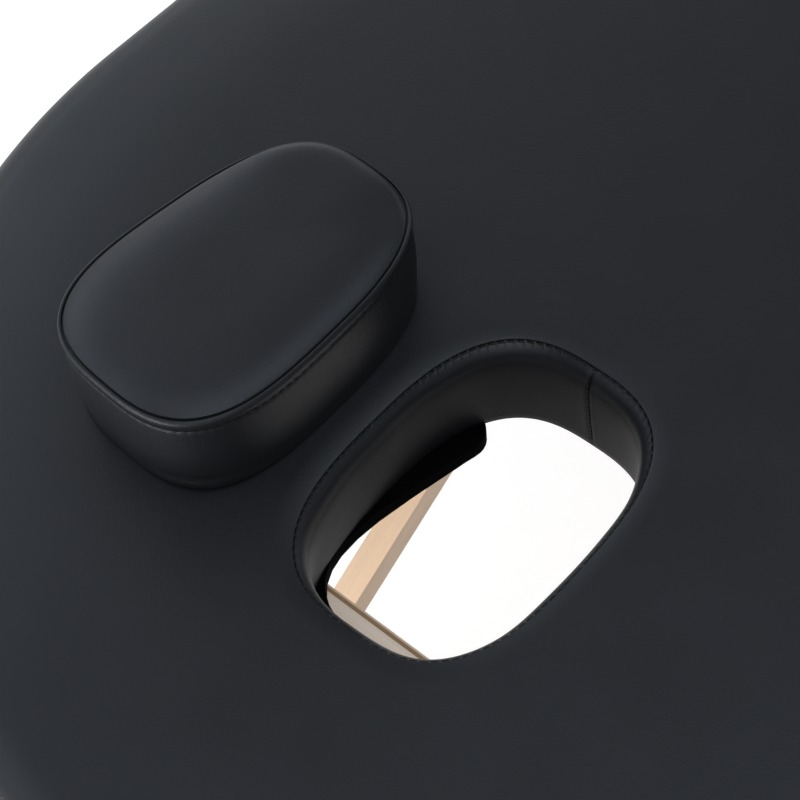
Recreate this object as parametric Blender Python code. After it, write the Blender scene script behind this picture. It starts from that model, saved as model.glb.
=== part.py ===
"""Portable folding massage table: a padded top with half-round ends on a beech frame.

The head half has an oval face hole, and its plug cushion lies on the top beside it. X runs along
the table with the head end at +X, Y runs across it and Z is up. The origin is on the floor under
the middle of the table. All sizes are in metres. Left is the +Y side.
"""
import math

import bmesh
import bpy
from mathutils import Vector
from mathutils.geometry import tessellate_polygon

# Whole table, open, with the legs at their shortest
LENGTH = 1.900
WIDTH = 0.770
TOP_HEIGHT = 0.615

# Gaps between pieces that touch, and between pieces that slide or turn
GAP = 0.0003
RUN = 0.0005

# Padded top
PAD_THICKNESS = 0.064
COVER_THICKNESS = 0.0014
EDGE_ROLL = 0.034
SIDE_DRAW = 0.004
CROWN = 0.004
CROWN_RUN = 0.110
FOLD_CORNER = 0.040
FOLD_GAP = 0.0012
DECK_THICKNESS = 0.010

# Face hole and its rim
HOLE_LENGTH = 0.190
HOLE_WIDTH = 0.132
HOLE_POWER = 2.8
HOLE_FROM_END = 0.276
RIM_RUN = 0.013
RIM_DROP = 0.0026

# Ledge that carries the plug: its egg-shaped opening, how far it goes round, and its band
LEDGE_LENGTH = 0.194
LEDGE_WIDTH = 0.114
LEDGE_POWER = 3.2
LEDGE_EGG = 0.37
LEDGE_BACK = 0.0232
LEDGE_SWEEP_DEG = 106
LEDGE_BAND = 0.030
LEDGE_THICKNESS = 0.010
LEDGE_CORNER = 0.012

# Plug cushion: its egg-shaped outline at the seam, and where it lies beside the hole
PLUG_LENGTH = 0.1858
PLUG_WIDTH = 0.1246
PLUG_POWER = 2.92
PLUG_EGG = 0.103
PLUG_SEAM_HEIGHT = 0.0606
PLUG_CROWN = 0.0115
PLUG_CROWN_RUN = 0.030
PLUG_CROWN_POWER = 2.2
PLUG_TAPER = 0.0010
PLUG_WELT = 0.0012
PLUG_BASE = 0.0060
PLUG_FORWARD = 0.0015
PLUG_ASIDE = -0.1471
PLUG_TURN_DEG = -3.54

# Frame under the deck
RAIL_INSET = 0.025
RAIL_HEIGHT = 0.075
RAIL_THICKNESS = 0.020
APRON_THICKNESS = 0.012
RAIL_BEVEL = 0.002

# Fold hinge, one long strip across the table
HINGE_LENGTH = 0.620
HINGE_KNUCKLES = 13
HINGE_EYE = 0.0045
HINGE_PIN = 0.0020
HINGE_LEAF = 0.0020
HINGE_REACH = 0.018

# Leg frame: pivot place, upper leg, crossbars. The top crossbar ends in the tenons that the legs turn on.
LEG_FROM_END = 0.2235
LEG_PIVOT_DROP = 0.056
LEG_WIDTH = 0.040
LEG_THICKNESS = 0.022
LEG_END_HEIGHT = 0.115
HANGER_THICKNESS = 0.022
HANGER_WIDTH = 0.052
HANGER_CLEARANCE = 0.003
TENON = 0.0065
TOP_BAR_HEIGHT = 0.030
TOP_BAR_THICKNESS = 0.020
LOW_BAR_HEIGHT = 0.211
LOW_BAR_DEPTH = 0.040
LOW_BAR_THICKNESS = 0.0135
BAR_BEVEL = 0.005

# Leg extensions, their knobs and rubber feet
EXTENSION_TRAVEL = 0.120
EXTENSION_WIDTH = 0.024
EXTENSION_THICKNESS = 0.022
EXTENSION_BACK = 0.0005
SLOT_END = 0.045
KNOB_FROM_LEG_END = 0.045
KNOB_RADIUS = 0.0150
KNOB_LOBE = 0.0020
KNOB_LOBES = 5
KNOB_LENGTH = 0.018
KNOB_ROUND = 0.004
KNOB_BOLT = 0.0040
KNOB_WASHER = 0.0085
KNOB_WASHER_THICKNESS = 0.0030
FOOT_HEIGHT = 0.014
FOOT_MARGIN = 0.002
FOOT_BEVEL = 0.002

# Elbow struts, the tail of the lower one past the elbow, and the lugs and rail that they turn on
STRUT_Y = 0.1585
STRUT_THICKNESS = 0.020
STRUT_WIDTH = 0.022
STRUT_TAIL = 0.024
STRUT_LEG_OFFSET = 0.037
STRUT_FRAME_X = 0.168
STRUT_PIN = 0.0040
STRUT_PIN_LENGTH = 0.018
STRUT_LUG_THICKNESS = 0.024
STRUT_RAIL_WIDTH = 0.040
STRUT_RAIL_HEIGHT = 0.036

# Carry handles
HANDLE_X = 0.250
HANDLE_LENGTH = 0.160
HANDLE_FLAT = 0.020
HANDLE_HEIGHT = 0.026
HANDLE_THICKNESS = 0.0035
HANDLE_BOW = 0.019

# Latch hook on the head half's left rail and its stud on the foot half's
LATCH_FROM_RAIL_END = 0.115
LATCH_RISE = 0.025
LATCH_PLATE = 0.0040
LATCH_HALF_WIDTH = 0.0075
LATCH_TAIL = 0.009
LATCH_NOSE = 0.010
LATCH_STUD = 0.0030
LATCH_STUD_HEAD = 0.0055
LATCH_STUD_HEAD_THICKNESS = 0.0025
LATCH_STUD_DEPTH = 0.016

# How finely round shapes are divided, and the turn past which an edge is sharp
SHARP_DEG = 32
END_STEPS = 24
CORNER_STEPS = 3
ROLL_STEPS = 5
CROWN_STEPS = 2
RIM_STEPS = 3
OVAL_STEPS = 36
PLUG_STEPS = 40
PLUG_CROWN_STEPS = 5
LEDGE_STEPS = 24
ROUND_STEPS = 12
KNOB_STEPS = 20
HANDLE_STEPS = 16

# Levels
DECK_TOP = TOP_HEIGHT - PAD_THICKNESS
DECK_LOW = DECK_TOP - DECK_THICKNESS
RAIL_TOP = DECK_LOW - GAP
RAIL_LOW = RAIL_TOP - RAIL_HEIGHT
HINGE_Z = RAIL_LOW - GAP - HINGE_EYE
LEG_PIVOT_Z = DECK_LOW - LEG_PIVOT_DROP
LATCH_Z = RAIL_LOW + LATCH_RISE
PLUG_LOW = TOP_HEIGHT + GAP

# Places in plan
END_RADIUS = WIDTH / 2
END_CENTRE_X = LENGTH / 2 - END_RADIUS
HOLE_X = LENGTH / 2 - HOLE_FROM_END
PLUG_CENTRE = (HOLE_X + PLUG_FORWARD, PLUG_ASIDE)
SKIN = COVER_THICKNESS + GAP
RAIL_OUTER = END_RADIUS - RAIL_INSET
RAIL_INNER = RAIL_OUTER - RAIL_THICKNESS
APRON_INNER = RAIL_OUTER - APRON_THICKNESS
LEG_X = LENGTH / 2 - LEG_FROM_END
LATCH_X = END_CENTRE_X - LATCH_FROM_RAIL_END
HANGER_CORNER_X = LEG_X + HANGER_WIDTH / 2 - END_CENTRE_X
HANGER_OUTER = math.sqrt((APRON_INNER - HANGER_CLEARANCE) ** 2 - HANGER_CORNER_X ** 2)
HANGER_INNER = HANGER_OUTER - HANGER_THICKNESS
LEG_OUTER = HANGER_INNER - RUN
LEG_INNER = LEG_OUTER - LEG_THICKNESS
LEG_PIVOT = (LEG_X, LEG_PIVOT_Z)
LEG_FRONT_X = LEG_X + LEG_WIDTH / 2
LEG_BACK_X = LEG_X - LEG_WIDTH / 2
EXTENSION_X = LEG_BACK_X + EXTENSION_BACK + EXTENSION_WIDTH / 2
KNOB_Z = LEG_END_HEIGHT + KNOB_FROM_LEG_END
LOWER_STRUT = (STRUT_Y, STRUT_Y + STRUT_THICKNESS)
UPPER_STRUT = (LOWER_STRUT[1] + RUN, LOWER_STRUT[1] + RUN + STRUT_THICKNESS)

# Pivots of the elbow struts and the end of the tail, as X and Z: leg frame, strut rail, elbow, tail.
# Folded, both struts lie level at the rail pivot's height, which sets where the elbow must be.
STRUT_LEG = (LEG_X - STRUT_LEG_OFFSET, LOW_BAR_HEIGHT)
STRUT_FRAME = (STRUT_FRAME_X, LEG_PIVOT_Z + STRUT_LEG_OFFSET)
STRUT_SPAN = math.dist(STRUT_LEG, STRUT_FRAME)
STRUT_LEG_FOLDED_X = LEG_X - (LEG_PIVOT_Z - LOW_BAR_HEIGHT)
UPPER_STRUT_LENGTH = (STRUT_SPAN + STRUT_LEG_FOLDED_X - STRUT_FRAME_X) / 2
ELBOW_SHARE = UPPER_STRUT_LENGTH / STRUT_SPAN
ELBOW = tuple(a + (b - a) * ELBOW_SHARE for a, b in zip(STRUT_FRAME, STRUT_LEG))
TAIL_SHARE = ELBOW_SHARE - STRUT_TAIL / STRUT_SPAN
TAIL = tuple(a + (b - a) * TAIL_SHARE for a, b in zip(STRUT_FRAME, STRUT_LEG))

SIDES = (("left", 1), ("right", -1))
PLACES = {}


def clear_scene():
    """Remove every object of the scene."""
    for old in list(bpy.data.objects):
        bpy.data.objects.remove(old, do_unlink=True)


def make_material(name, colour, roughness, metallic=0.0):
    """Make a plain surface finish."""
    material = bpy.data.materials.new(name)
    material.use_nodes = True
    shader = material.node_tree.nodes["Principled BSDF"]
    shader.inputs["Base Color"].default_value = (*colour, 1.0)
    shader.inputs["Roughness"].default_value = roughness
    shader.inputs["Metallic"].default_value = metallic
    return material


def make_pivot(name, place, parent=None):
    """Make an empty on a joint's axis, for the pieces that move about it."""
    empty = bpy.data.objects.new(name, None)
    bpy.context.scene.collection.objects.link(empty)
    PLACES[name] = Vector(place)
    empty.location = PLACES[name]
    if parent:
        empty.parent = parent
        empty.location = PLACES[name] - PLACES[parent.name]
    return empty


def add_piece(name, bm, material, pivot=None, end=1):
    """Turn a mesh drawn at the head end into a named piece, mirrored when end is -1."""
    for vert in bm.verts:
        vert.co.x *= end
        if pivot:
            vert.co -= PLACES[pivot.name]
    bm.normal_update()
    bmesh.ops.recalc_face_normals(bm, faces=bm.faces[:])
    mesh = bpy.data.meshes.new(name)
    bm.to_mesh(mesh)
    bm.free()
    mesh.materials.append(material)
    mesh.shade_smooth()
    mesh.set_sharp_from_angle(angle=math.radians(SHARP_DEG))
    piece = bpy.data.objects.new(name, mesh)
    bpy.context.scene.collection.objects.link(piece)
    piece.parent = pivot
    return piece


def cut(piece, bm, pivot, end):
    """Cut a mesh drawn at the head end from a piece."""
    cutter = add_piece(f"{piece.name}_cutter", bm, piece.data.materials[0], pivot, end)
    cutter.hide_render = True
    cutter.display_type = "WIRE"
    boolean = piece.modifiers.new("cut", "BOOLEAN")
    boolean.operation = "DIFFERENCE"
    boolean.object = cutter


def add_block(bm, corner_a, corner_b, bevel=0.0):
    """Add a box between two corners, with its edges cut by bevel."""
    low = Vector([min(pair) for pair in zip(corner_a, corner_b)])
    high = Vector([max(pair) for pair in zip(corner_a, corner_b)])
    verts = bmesh.ops.create_cube(bm, size=1.0)["verts"]
    bmesh.ops.scale(bm, vec=high - low, verts=verts)
    bmesh.ops.translate(bm, vec=(low + high) / 2, verts=verts)
    if bevel:
        edges = list({edge for vert in verts for edge in vert.link_edges})
        bmesh.ops.bevel(bm, geom=edges, offset=bevel, segments=1, affect="EDGES")


def add_prism(bm, loops, low, high, axis, studs=()):
    """Extrude an outline and its holes along Y or Z, with round studs on its end faces.

    A loop is a list of points across the axis. A stud is a loop, the face it stands on (low or
    high) and the place of its tip along the axis.
    """
    def place(point, along):
        if axis == "Y":
            return (point[0], along, point[1])
        return (point[0], point[1], along)

    def ring(loop, along):
        return [bm.verts.new(place(point, along)) for point in loop]

    walls = [(ring(loop, low), ring(loop, high)) for loop in loops]
    for wall in walls:
        bridge_rows(bm, wall)
    caps = {low: [wall[0] for wall in walls], high: [wall[1] for wall in walls]}
    for loop, face, tip in studs:
        root = ring(loop, face)
        end = ring(loop, tip)
        caps[face].append(root)
        bridge_rows(bm, [root, end])
        bm.faces.new(end)
    for cap in caps.values():
        fill_across(bm, cap, axis)


def fill_across(bm, loops, axis):
    """Fill an outline of mesh points that lie across Y or Z, less the holes that follow it."""
    verts = [vert for loop in loops for vert in loop]
    down = 1 if axis == "Y" else 2
    flat = []
    for loop in loops:
        flat.append([Vector([value for index, value in enumerate(vert.co) if index != down] + [0.0])
                     for vert in loop])
    for corners in tessellate_polygon(flat):
        bm.faces.new([verts[index] for index in corners])


def add_turned(bm, x, z, profile, steps=ROUND_STEPS, lobed_radius=None):
    """Turn a profile of (place along Y, radius) pairs about a line along Y, with lobes at one radius."""
    rings = []
    for y, radius in profile:
        ring = []
        for step in range(steps):
            angle = 2 * math.pi * step / steps
            reach = radius
            if radius == lobed_radius:
                reach += KNOB_LOBE * math.cos(KNOB_LOBES * angle)
            ring.append(bm.verts.new((x + reach * math.cos(angle), y, z + reach * math.sin(angle))))
        rings.append(ring)
    bridge_rows(bm, rings)
    bm.faces.new(rings[0])
    bm.faces.new(rings[-1])


def bridge_rows(bm, rows):
    """Join each closed row of points to the next."""
    for lower, upper in zip(rows, rows[1:]):
        count = len(lower)
        for index in range(count):
            after = (index + 1) % count
            bm.faces.new((lower[index], lower[after], upper[after], upper[index]))


def arc(centre, radius, start_deg, end_deg, steps):
    """Points along an arc, both ends included."""
    points = []
    for step in range(steps + 1):
        angle = math.radians(start_deg + (end_deg - start_deg) * step / steps)
        points.append((centre[0] + radius * math.cos(angle), centre[1] + radius * math.sin(angle)))
    return points


def circle(centre, radius, steps=ROUND_STEPS):
    """Points round a circle."""
    return arc(centre, radius, 0, 360, steps)[:-1]


def round_bar(start, finish, half_width):
    """Outline of a straight bar with half-round ends centred on two points."""
    turn = math.degrees(math.atan2(finish[1] - start[1], finish[0] - start[0]))
    far = arc(finish, half_width, turn - 90, turn + 90, ROUND_STEPS // 2)
    near = arc(start, half_width, turn + 90, turn + 270, ROUND_STEPS // 2)
    return far + near


def oval_point(angle, length, width, power, egg=0.0):
    """Point of a superellipse at an angle. The egg share makes it wider towards +X."""
    across = math.cos(angle)
    along = math.sin(angle)
    x = math.copysign(abs(across) ** (2 / power), across)
    y = math.copysign(abs(along) ** (2 / power), along)
    return x * length / 2, y * (1 + egg * x) * width / 2


def oval(length, width, power, steps, centre, turn_deg=0.0, egg=0.0):
    """Points round a superellipse, turned and moved to its place."""
    points = []
    turn = math.radians(turn_deg)
    for step in range(steps):
        x, y = oval_point(2 * math.pi * step / steps, length, width, power, egg)
        points.append((centre[0] + x * math.cos(turn) - y * math.sin(turn),
                       centre[1] + x * math.sin(turn) + y * math.cos(turn)))
    return points


def rounded_corner(before, corner, after, radius, steps):
    """Points that round a corner between its neighbours."""
    start = Vector(corner) + (Vector(before) - Vector(corner)).normalized() * radius
    end = Vector(corner) + (Vector(after) - Vector(corner)).normalized() * radius
    points = []
    for step in range(steps + 1):
        share = step / steps
        point = start * (1 - share) ** 2 + Vector(corner) * 2 * share * (1 - share) + end * share ** 2
        points.append(tuple(point))
    return points


def half_outline(inset):
    """Plan outline of one half of the top: straight at the fold, half round at the end."""
    reach = END_RADIUS - inset
    fold_x = FOLD_GAP / 2 + inset
    corner = max(FOLD_CORNER - inset, GAP)
    low = arc((fold_x + corner, corner - reach), corner, 180, 270, CORNER_STEPS)
    end = arc((END_CENTRE_X, 0.0), reach, -90, 90, END_STEPS)
    high = arc((fold_x + corner, reach - corner), corner, 90, 180, CORNER_STEPS)
    return low + end + high


def hole_outline(grow):
    """Outline of the face hole, grown outwards."""
    return oval(HOLE_LENGTH + 2 * grow, HOLE_WIDTH + 2 * grow, HOLE_POWER, OVAL_STEPS, (HOLE_X, 0.0))


def side_inset(offset, z):
    """Inset of the drawn-in side at a height, for a surface offset inwards from the cover."""
    roll_z = TOP_HEIGHT - CROWN - EDGE_ROLL
    share = max(0.0, (roll_z - z) / (roll_z - DECK_LOW))
    return offset + SIDE_DRAW * share


def pad_rows(offset, low_z):
    """Rows of (inset, height) up the pad's side, over its rolled edge and up to its flat middle."""
    slope = math.atan2(2 * CROWN, CROWN_RUN - EDGE_ROLL)
    roll_z = TOP_HEIGHT - CROWN - EDGE_ROLL
    radius = EDGE_ROLL - offset
    rows = [(side_inset(offset, low_z), low_z)]
    for step in range(ROLL_STEPS + 1):
        angle = (math.pi / 2 - slope) * step / ROLL_STEPS
        rows.append((EDGE_ROLL - radius * math.cos(angle), roll_z + radius * math.sin(angle)))
    roll_inset, roll_top = rows[-1]
    for step in range(1, CROWN_STEPS + 1):
        share = step / CROWN_STEPS
        rise = (TOP_HEIGHT - offset - roll_top) * (1 - (1 - share) ** 2)
        rows.append((roll_inset + (CROWN_RUN - roll_inset) * share, roll_top + rise))
    return rows


def rim_rows(offset):
    """Rows of (growth, height) from the flat middle down to the seam round the face hole."""
    rows = []
    for step in range(RIM_STEPS + 1):
        share = step / RIM_STEPS
        rows.append((SKIN + RIM_RUN * (1 - share), TOP_HEIGHT - offset - RIM_DROP * share ** 2))
    return rows


def add_pad_surface(bm, offset, low_z, has_hole):
    """Add the side, rolled edge and top of a pad. Return its lowest row and its hole's last row."""
    rows = []
    for inset, z in pad_rows(offset, low_z):
        rows.append([bm.verts.new((x, y, z)) for x, y in half_outline(inset)])
    bridge_rows(bm, rows)
    loops = [rows[-1]]
    rim = []
    if has_hole:
        for grow, z in rim_rows(offset):
            rim.append([bm.verts.new((x, y, z)) for x, y in hole_outline(grow)])
        bridge_rows(bm, rim)
        loops.append(rim[0])
    fill_across(bm, loops, "Z")
    return rows[0], rim[-1] if rim else None


def cover_mesh(has_hole):
    """Leatherette skin over one half's foam and the edge of its deck."""
    bm = bmesh.new()
    outer_low, outer_rim = add_pad_surface(bm, 0.0, DECK_LOW, has_hole)
    inner_low, inner_rim = add_pad_surface(bm, COVER_THICKNESS, DECK_LOW, has_hole)
    bridge_rows(bm, [outer_low, inner_low])
    if has_hole:
        bridge_rows(bm, [outer_rim, inner_rim])
    return bm


def foam_mesh(has_hole):
    """Foam of one half, between the deck and the cover."""
    bm = bmesh.new()
    low_z = DECK_TOP + GAP
    outline, rim = add_pad_surface(bm, SKIN, low_z, has_hole)
    loops = [outline]
    if has_hole:
        base = [bm.verts.new((x, y, low_z)) for x, y in hole_outline(SKIN)]
        bridge_rows(bm, [rim, base])
        loops.append(base)
    fill_across(bm, loops, "Z")
    return bm


def deck_mesh(has_hole):
    """Plywood panel under one half's foam."""
    bm = bmesh.new()
    loops = [half_outline(SIDE_DRAW + SKIN)]
    if has_hole:
        loops.append(hole_outline(SKIN))
    add_prism(bm, loops, DECK_LOW, DECK_TOP, "Z")
    return bm


def lining_mesh():
    """Strip of leatherette that lines the face hole from its rim down through the deck."""
    bm = bmesh.new()
    add_prism(bm, [hole_outline(COVER_THICKNESS), hole_outline(0.0)], DECK_LOW, TOP_HEIGHT - RIM_DROP, "Z")
    return bm


def ledge_mesh():
    """Band under the deck, round the hole's head end and long sides, which carries the plug."""
    bm = bmesh.new()
    inner = []
    outer = []
    for step in range(LEDGE_STEPS + 1):
        angle = math.radians(LEDGE_SWEEP_DEG) * (2 * step / LEDGE_STEPS - 1)
        for row, grow in ((inner, 0.0), (outer, LEDGE_BAND)):
            size = (LEDGE_LENGTH + 2 * grow, LEDGE_WIDTH + 2 * grow)
            x, y = oval_point(angle, *size, LEDGE_POWER, LEDGE_EGG)
            row.append((HOLE_X - LEDGE_BACK + x, y))
    outline = rounded_corner(outer[0], inner[0], inner[1], LEDGE_CORNER, ROUND_STEPS // 2)
    outline += inner[1:-1]
    outline += rounded_corner(inner[-2], inner[-1], outer[-1], LEDGE_CORNER, ROUND_STEPS // 2)
    outline += reversed(outer)
    add_prism(bm, [outline], RAIL_TOP - LEDGE_THICKNESS, RAIL_TOP, "Z")
    return bm


def side_rail_mesh(side):
    """Straight beech rail along one long side of a half, bored for the latch on the left."""
    bm = bmesh.new()
    far = END_CENTRE_X - GAP
    loops = [[(GAP, RAIL_LOW), (far, RAIL_LOW), (far, RAIL_TOP), (GAP, RAIL_TOP)]]
    if side == 1:
        loops.append(circle((LATCH_X, LATCH_Z), LATCH_STUD + RUN))
    add_prism(bm, loops, side * RAIL_INNER, side * RAIL_OUTER, "Y")
    return bm


def apron_mesh():
    """Bent beech strip that follows the half-round end."""
    bm = bmesh.new()
    centre = (END_CENTRE_X, 0.0)
    outline = arc(centre, RAIL_OUTER, -90, 90, END_STEPS) + arc(centre, APRON_INNER, 90, -90, END_STEPS)
    add_prism(bm, [outline], RAIL_LOW, RAIL_TOP, "Z")
    return bm


def centre_rail_mesh():
    """Rail across the table at the fold."""
    bm = bmesh.new()
    reach = RAIL_INNER - GAP
    add_block(bm, (GAP, -reach, RAIL_LOW), (GAP + RAIL_THICKNESS, reach, RAIL_TOP), RAIL_BEVEL)
    return bm


def hanger_mesh(side):
    """Block under the deck, bored for the crossbar's tenon that the leg frame turns on."""
    bm = bmesh.new()
    half = HANGER_WIDTH / 2
    front = LEG_X + half
    rear = LEG_X - half
    outline = [(rear, RAIL_LOW), (front, RAIL_LOW), (front, RAIL_TOP), (rear, RAIL_TOP)]
    add_prism(bm, [outline, circle(LEG_PIVOT, TENON + RUN)], side * HANGER_INNER, side * HANGER_OUTER, "Y")
    return bm


def leg_mesh(side):
    """Upper leg, rounded at its top, bored for the crossbar's tenon and the knob's bolt."""
    bm = bmesh.new()
    outline = arc(LEG_PIVOT, LEG_WIDTH / 2, 0, 180, ROUND_STEPS // 2)
    outline += [(LEG_BACK_X, LEG_END_HEIGHT), (LEG_FRONT_X, LEG_END_HEIGHT)]
    holes = [circle(LEG_PIVOT, TENON + GAP), circle((EXTENSION_X, KNOB_Z), KNOB_BOLT + RUN)]
    add_prism(bm, [outline] + holes, side * LEG_INNER, side * LEG_OUTER, "Y")
    return bm


def top_bar_mesh():
    """Crossbar between the tops of the legs, with a round tenon at each end."""
    bm = bmesh.new()
    reach = LEG_INNER - GAP
    half_x = TOP_BAR_THICKNESS / 2
    half_z = TOP_BAR_HEIGHT / 2
    outline = []
    for way_x, way_z, start in ((1, 1, 0), (-1, 1, 90), (-1, -1, 180), (1, -1, 270)):
        corner = (LEG_X + way_x * (half_x - BAR_BEVEL), LEG_PIVOT_Z + way_z * (half_z - BAR_BEVEL))
        outline += arc(corner, BAR_BEVEL, start, start + 90, CORNER_STEPS)
    tip = HANGER_OUTER - GAP
    tenon = circle(LEG_PIVOT, TENON)
    add_prism(bm, [outline], -reach, reach, "Y", [(tenon, -reach, -tip), (tenon, reach, tip)])
    return bm


def low_bar_mesh():
    """Lower crossbar between the legs, with two lugs for the lower struts."""
    bm = bmesh.new()
    reach = LEG_INNER - GAP
    back_x = LEG_FRONT_X - LOW_BAR_THICKNESS
    lug_x = STRUT_LEG[0] - STRUT_WIDTH / 2
    lug_outer = LOWER_STRUT[0] - RUN
    lug_inner = lug_outer - STRUT_LUG_THICKNESS
    outline = [(LEG_FRONT_X, -reach), (LEG_FRONT_X, reach), (back_x, reach)]
    for side in (1, -1):
        lug = [(back_x, lug_outer), (lug_x, lug_outer), (lug_x, lug_inner), (back_x, lug_inner)]
        outline += [(x, side * y) for x, y in lug[::side]]
    outline.append((back_x, -reach))
    half = LOW_BAR_DEPTH / 2
    add_prism(bm, [outline], LOW_BAR_HEIGHT - half, LOW_BAR_HEIGHT + half, "Z")
    return bm


def strut_bore_mesh(pivot, face):
    """Two bores along Y for strut pins, sunk inwards from a face on each side."""
    bm = bmesh.new()
    for side in (-1, 1):
        profile = [(face - STRUT_PIN_LENGTH - RUN, STRUT_PIN + RUN), (face + RUN, STRUT_PIN + RUN)]
        add_turned(bm, pivot[0], pivot[1], [(side * y, radius) for y, radius in profile])
    return bm


def strut_mesh(side, pivot, finish, span):
    """Strut from its pivot to its far end, with a pin on the pivot that points inwards."""
    bm = bmesh.new()
    inner = side * span[0]
    pin = (circle(pivot, STRUT_PIN), inner, inner - side * (RUN + STRUT_PIN_LENGTH))
    add_prism(bm, [round_bar(pivot, finish, STRUT_WIDTH / 2)], inner, side * span[1], "Y", [pin])
    return bm


def strut_rail_mesh():
    """Batten across the underside of the deck, which the upper struts turn on."""
    bm = bmesh.new()
    half = STRUT_RAIL_WIDTH / 2
    reach = UPPER_STRUT[0] - RUN
    low = (STRUT_FRAME[0] - half, -reach, RAIL_TOP - STRUT_RAIL_HEIGHT)
    add_block(bm, low, (STRUT_FRAME[0] + half, reach, RAIL_TOP))
    return bm


def extension_span(outside):
    """Inner and outer Y of a leg extension, inside or outside its leg."""
    if outside:
        return (LEG_OUTER + RUN, LEG_OUTER + RUN + EXTENSION_THICKNESS)
    return (LEG_INNER - RUN - EXTENSION_THICKNESS, LEG_INNER - RUN)


def extension_mesh(side, outside):
    """Sliding lower leg, with a slot for the knob's bolt."""
    bm = bmesh.new()
    half = EXTENSION_WIDTH / 2
    slot = round_bar((EXTENSION_X, KNOB_Z), (EXTENSION_X, KNOB_Z + EXTENSION_TRAVEL), KNOB_BOLT + RUN)
    top = KNOB_Z + EXTENSION_TRAVEL + SLOT_END
    low = FOOT_HEIGHT + GAP
    outline = [(EXTENSION_X - half, low), (EXTENSION_X + half, low), (EXTENSION_X + half, top),
               (EXTENSION_X - half, top)]
    inner, outer = extension_span(outside)
    add_prism(bm, [outline, slot], side * inner, side * outer, "Y")
    return bm


def rubber_foot_mesh(side, outside):
    """Rubber block under a leg extension."""
    bm = bmesh.new()
    half = EXTENSION_WIDTH / 2 + FOOT_MARGIN
    inner, outer = extension_span(outside)
    low = (EXTENSION_X - half, side * inner, 0.0)
    add_block(bm, low, (EXTENSION_X + half, side * outer, FOOT_HEIGHT), FOOT_BEVEL)
    return bm


def knob_mesh(side, outside):
    """Lobed knob with its bolt through leg and extension, and the washer that it clamps against."""
    bm = bmesh.new()
    inner, outer = extension_span(outside)
    washer = min(inner, LEG_INNER) - RUN
    face = max(outer, LEG_OUTER) + RUN
    waist = KNOB_RADIUS - 2 * KNOB_LOBE
    profile = [(washer - KNOB_WASHER_THICKNESS, KNOB_WASHER), (washer, KNOB_WASHER), (washer, KNOB_BOLT),
               (face, KNOB_BOLT), (face, waist), (face + KNOB_ROUND, KNOB_RADIUS),
               (face + KNOB_LENGTH - KNOB_ROUND, KNOB_RADIUS), (face + KNOB_LENGTH, waist)]
    sided = [(side * y, radius) for y, radius in profile]
    add_turned(bm, EXTENSION_X, KNOB_Z, sided, KNOB_STEPS, KNOB_RADIUS)
    return bm


def hinge_leaf_mesh():
    """Hinge leaf of the head half: a flat strip under the rail that curls into an eye on the fold axis."""
    bm = bmesh.new()
    axis = (0.0, HINGE_Z)
    meet = math.degrees(math.asin((HINGE_EYE - HINGE_LEAF) / HINGE_EYE))
    outline = [(HINGE_REACH, HINGE_Z + HINGE_EYE)] + arc(axis, HINGE_EYE, 90, 360 + meet, ROUND_STEPS)
    outline.append((HINGE_REACH, HINGE_Z + HINGE_EYE - HINGE_LEAF))
    loops = [outline, circle(axis, HINGE_PIN + GAP)]
    add_prism(bm, loops, -HINGE_LENGTH / 2, HINGE_LENGTH / 2, "Y")
    return bm


def knuckle_gap_mesh(first):
    """Blocks that cut every other knuckle from a hinge leaf, for the knuckles of the other leaf."""
    bm = bmesh.new()
    pitch = HINGE_LENGTH / HINGE_KNUCKLES
    reach = HINGE_EYE + RUN
    for index in range(first, HINGE_KNUCKLES, 2):
        low = index * pitch - HINGE_LENGTH / 2 - RUN / 2
        high = low + pitch + RUN
        add_block(bm, (-2 * reach, low, HINGE_Z - 2 * reach), (reach, high, HINGE_Z + 2 * reach))
    return bm


def hinge_pin_mesh():
    """Pin on the fold axis."""
    bm = bmesh.new()
    add_turned(bm, 0.0, HINGE_Z, [(-HINGE_LENGTH / 2, HINGE_PIN), (HINGE_LENGTH / 2, HINGE_PIN)])
    return bm


def handle_mesh():
    """Carry strap bowed out from the left rail, so that fingers go behind it."""
    bm = bmesh.new()
    half = HANDLE_LENGTH / 2
    bend = half - HANDLE_FLAT
    face = RAIL_OUTER + GAP
    inner = [(HANDLE_X - half, face)]
    for step in range(HANDLE_STEPS + 1):
        x = bend * (2 * step / HANDLE_STEPS - 1)
        inner.append((HANDLE_X + x, face + HANDLE_BOW * (1 + math.cos(math.pi * x / bend)) / 2))
    inner.append((HANDLE_X + half, face))
    outer = [(x, y + HANDLE_THICKNESS) for x, y in reversed(inner)]
    middle = (RAIL_LOW + RAIL_TOP) / 2
    add_prism(bm, [inner + outer], middle - HANDLE_HEIGHT / 2, middle + HANDLE_HEIGHT / 2, "Z")
    return bm


def latch_hook_mesh():
    """Latch hook level on the left rail, open downwards at its nose, with its pivot in the rail."""
    bm = bmesh.new()
    slot = LATCH_STUD + RUN
    seat = (LATCH_X + 2 * (LATCH_Z - HINGE_Z), LATCH_Z)
    low = LATCH_Z - LATCH_HALF_WIDTH
    high = LATCH_Z + LATCH_HALF_WIDTH + slot
    outline = [(LATCH_X - LATCH_TAIL, high), (LATCH_X - LATCH_TAIL, low), (seat[0] - slot, low)]
    outline += arc(seat, slot, 180, 0, ROUND_STEPS // 2)
    outline += [(seat[0] + slot, low), (seat[0] + LATCH_NOSE, low), (seat[0] + LATCH_NOSE, high)]
    face = RAIL_OUTER + GAP
    pivot = (circle((LATCH_X, LATCH_Z), LATCH_STUD), face, RAIL_OUTER - LATCH_STUD_DEPTH)
    add_prism(bm, [outline], face, face + LATCH_PLATE, "Y", [pivot])
    return bm


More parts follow.
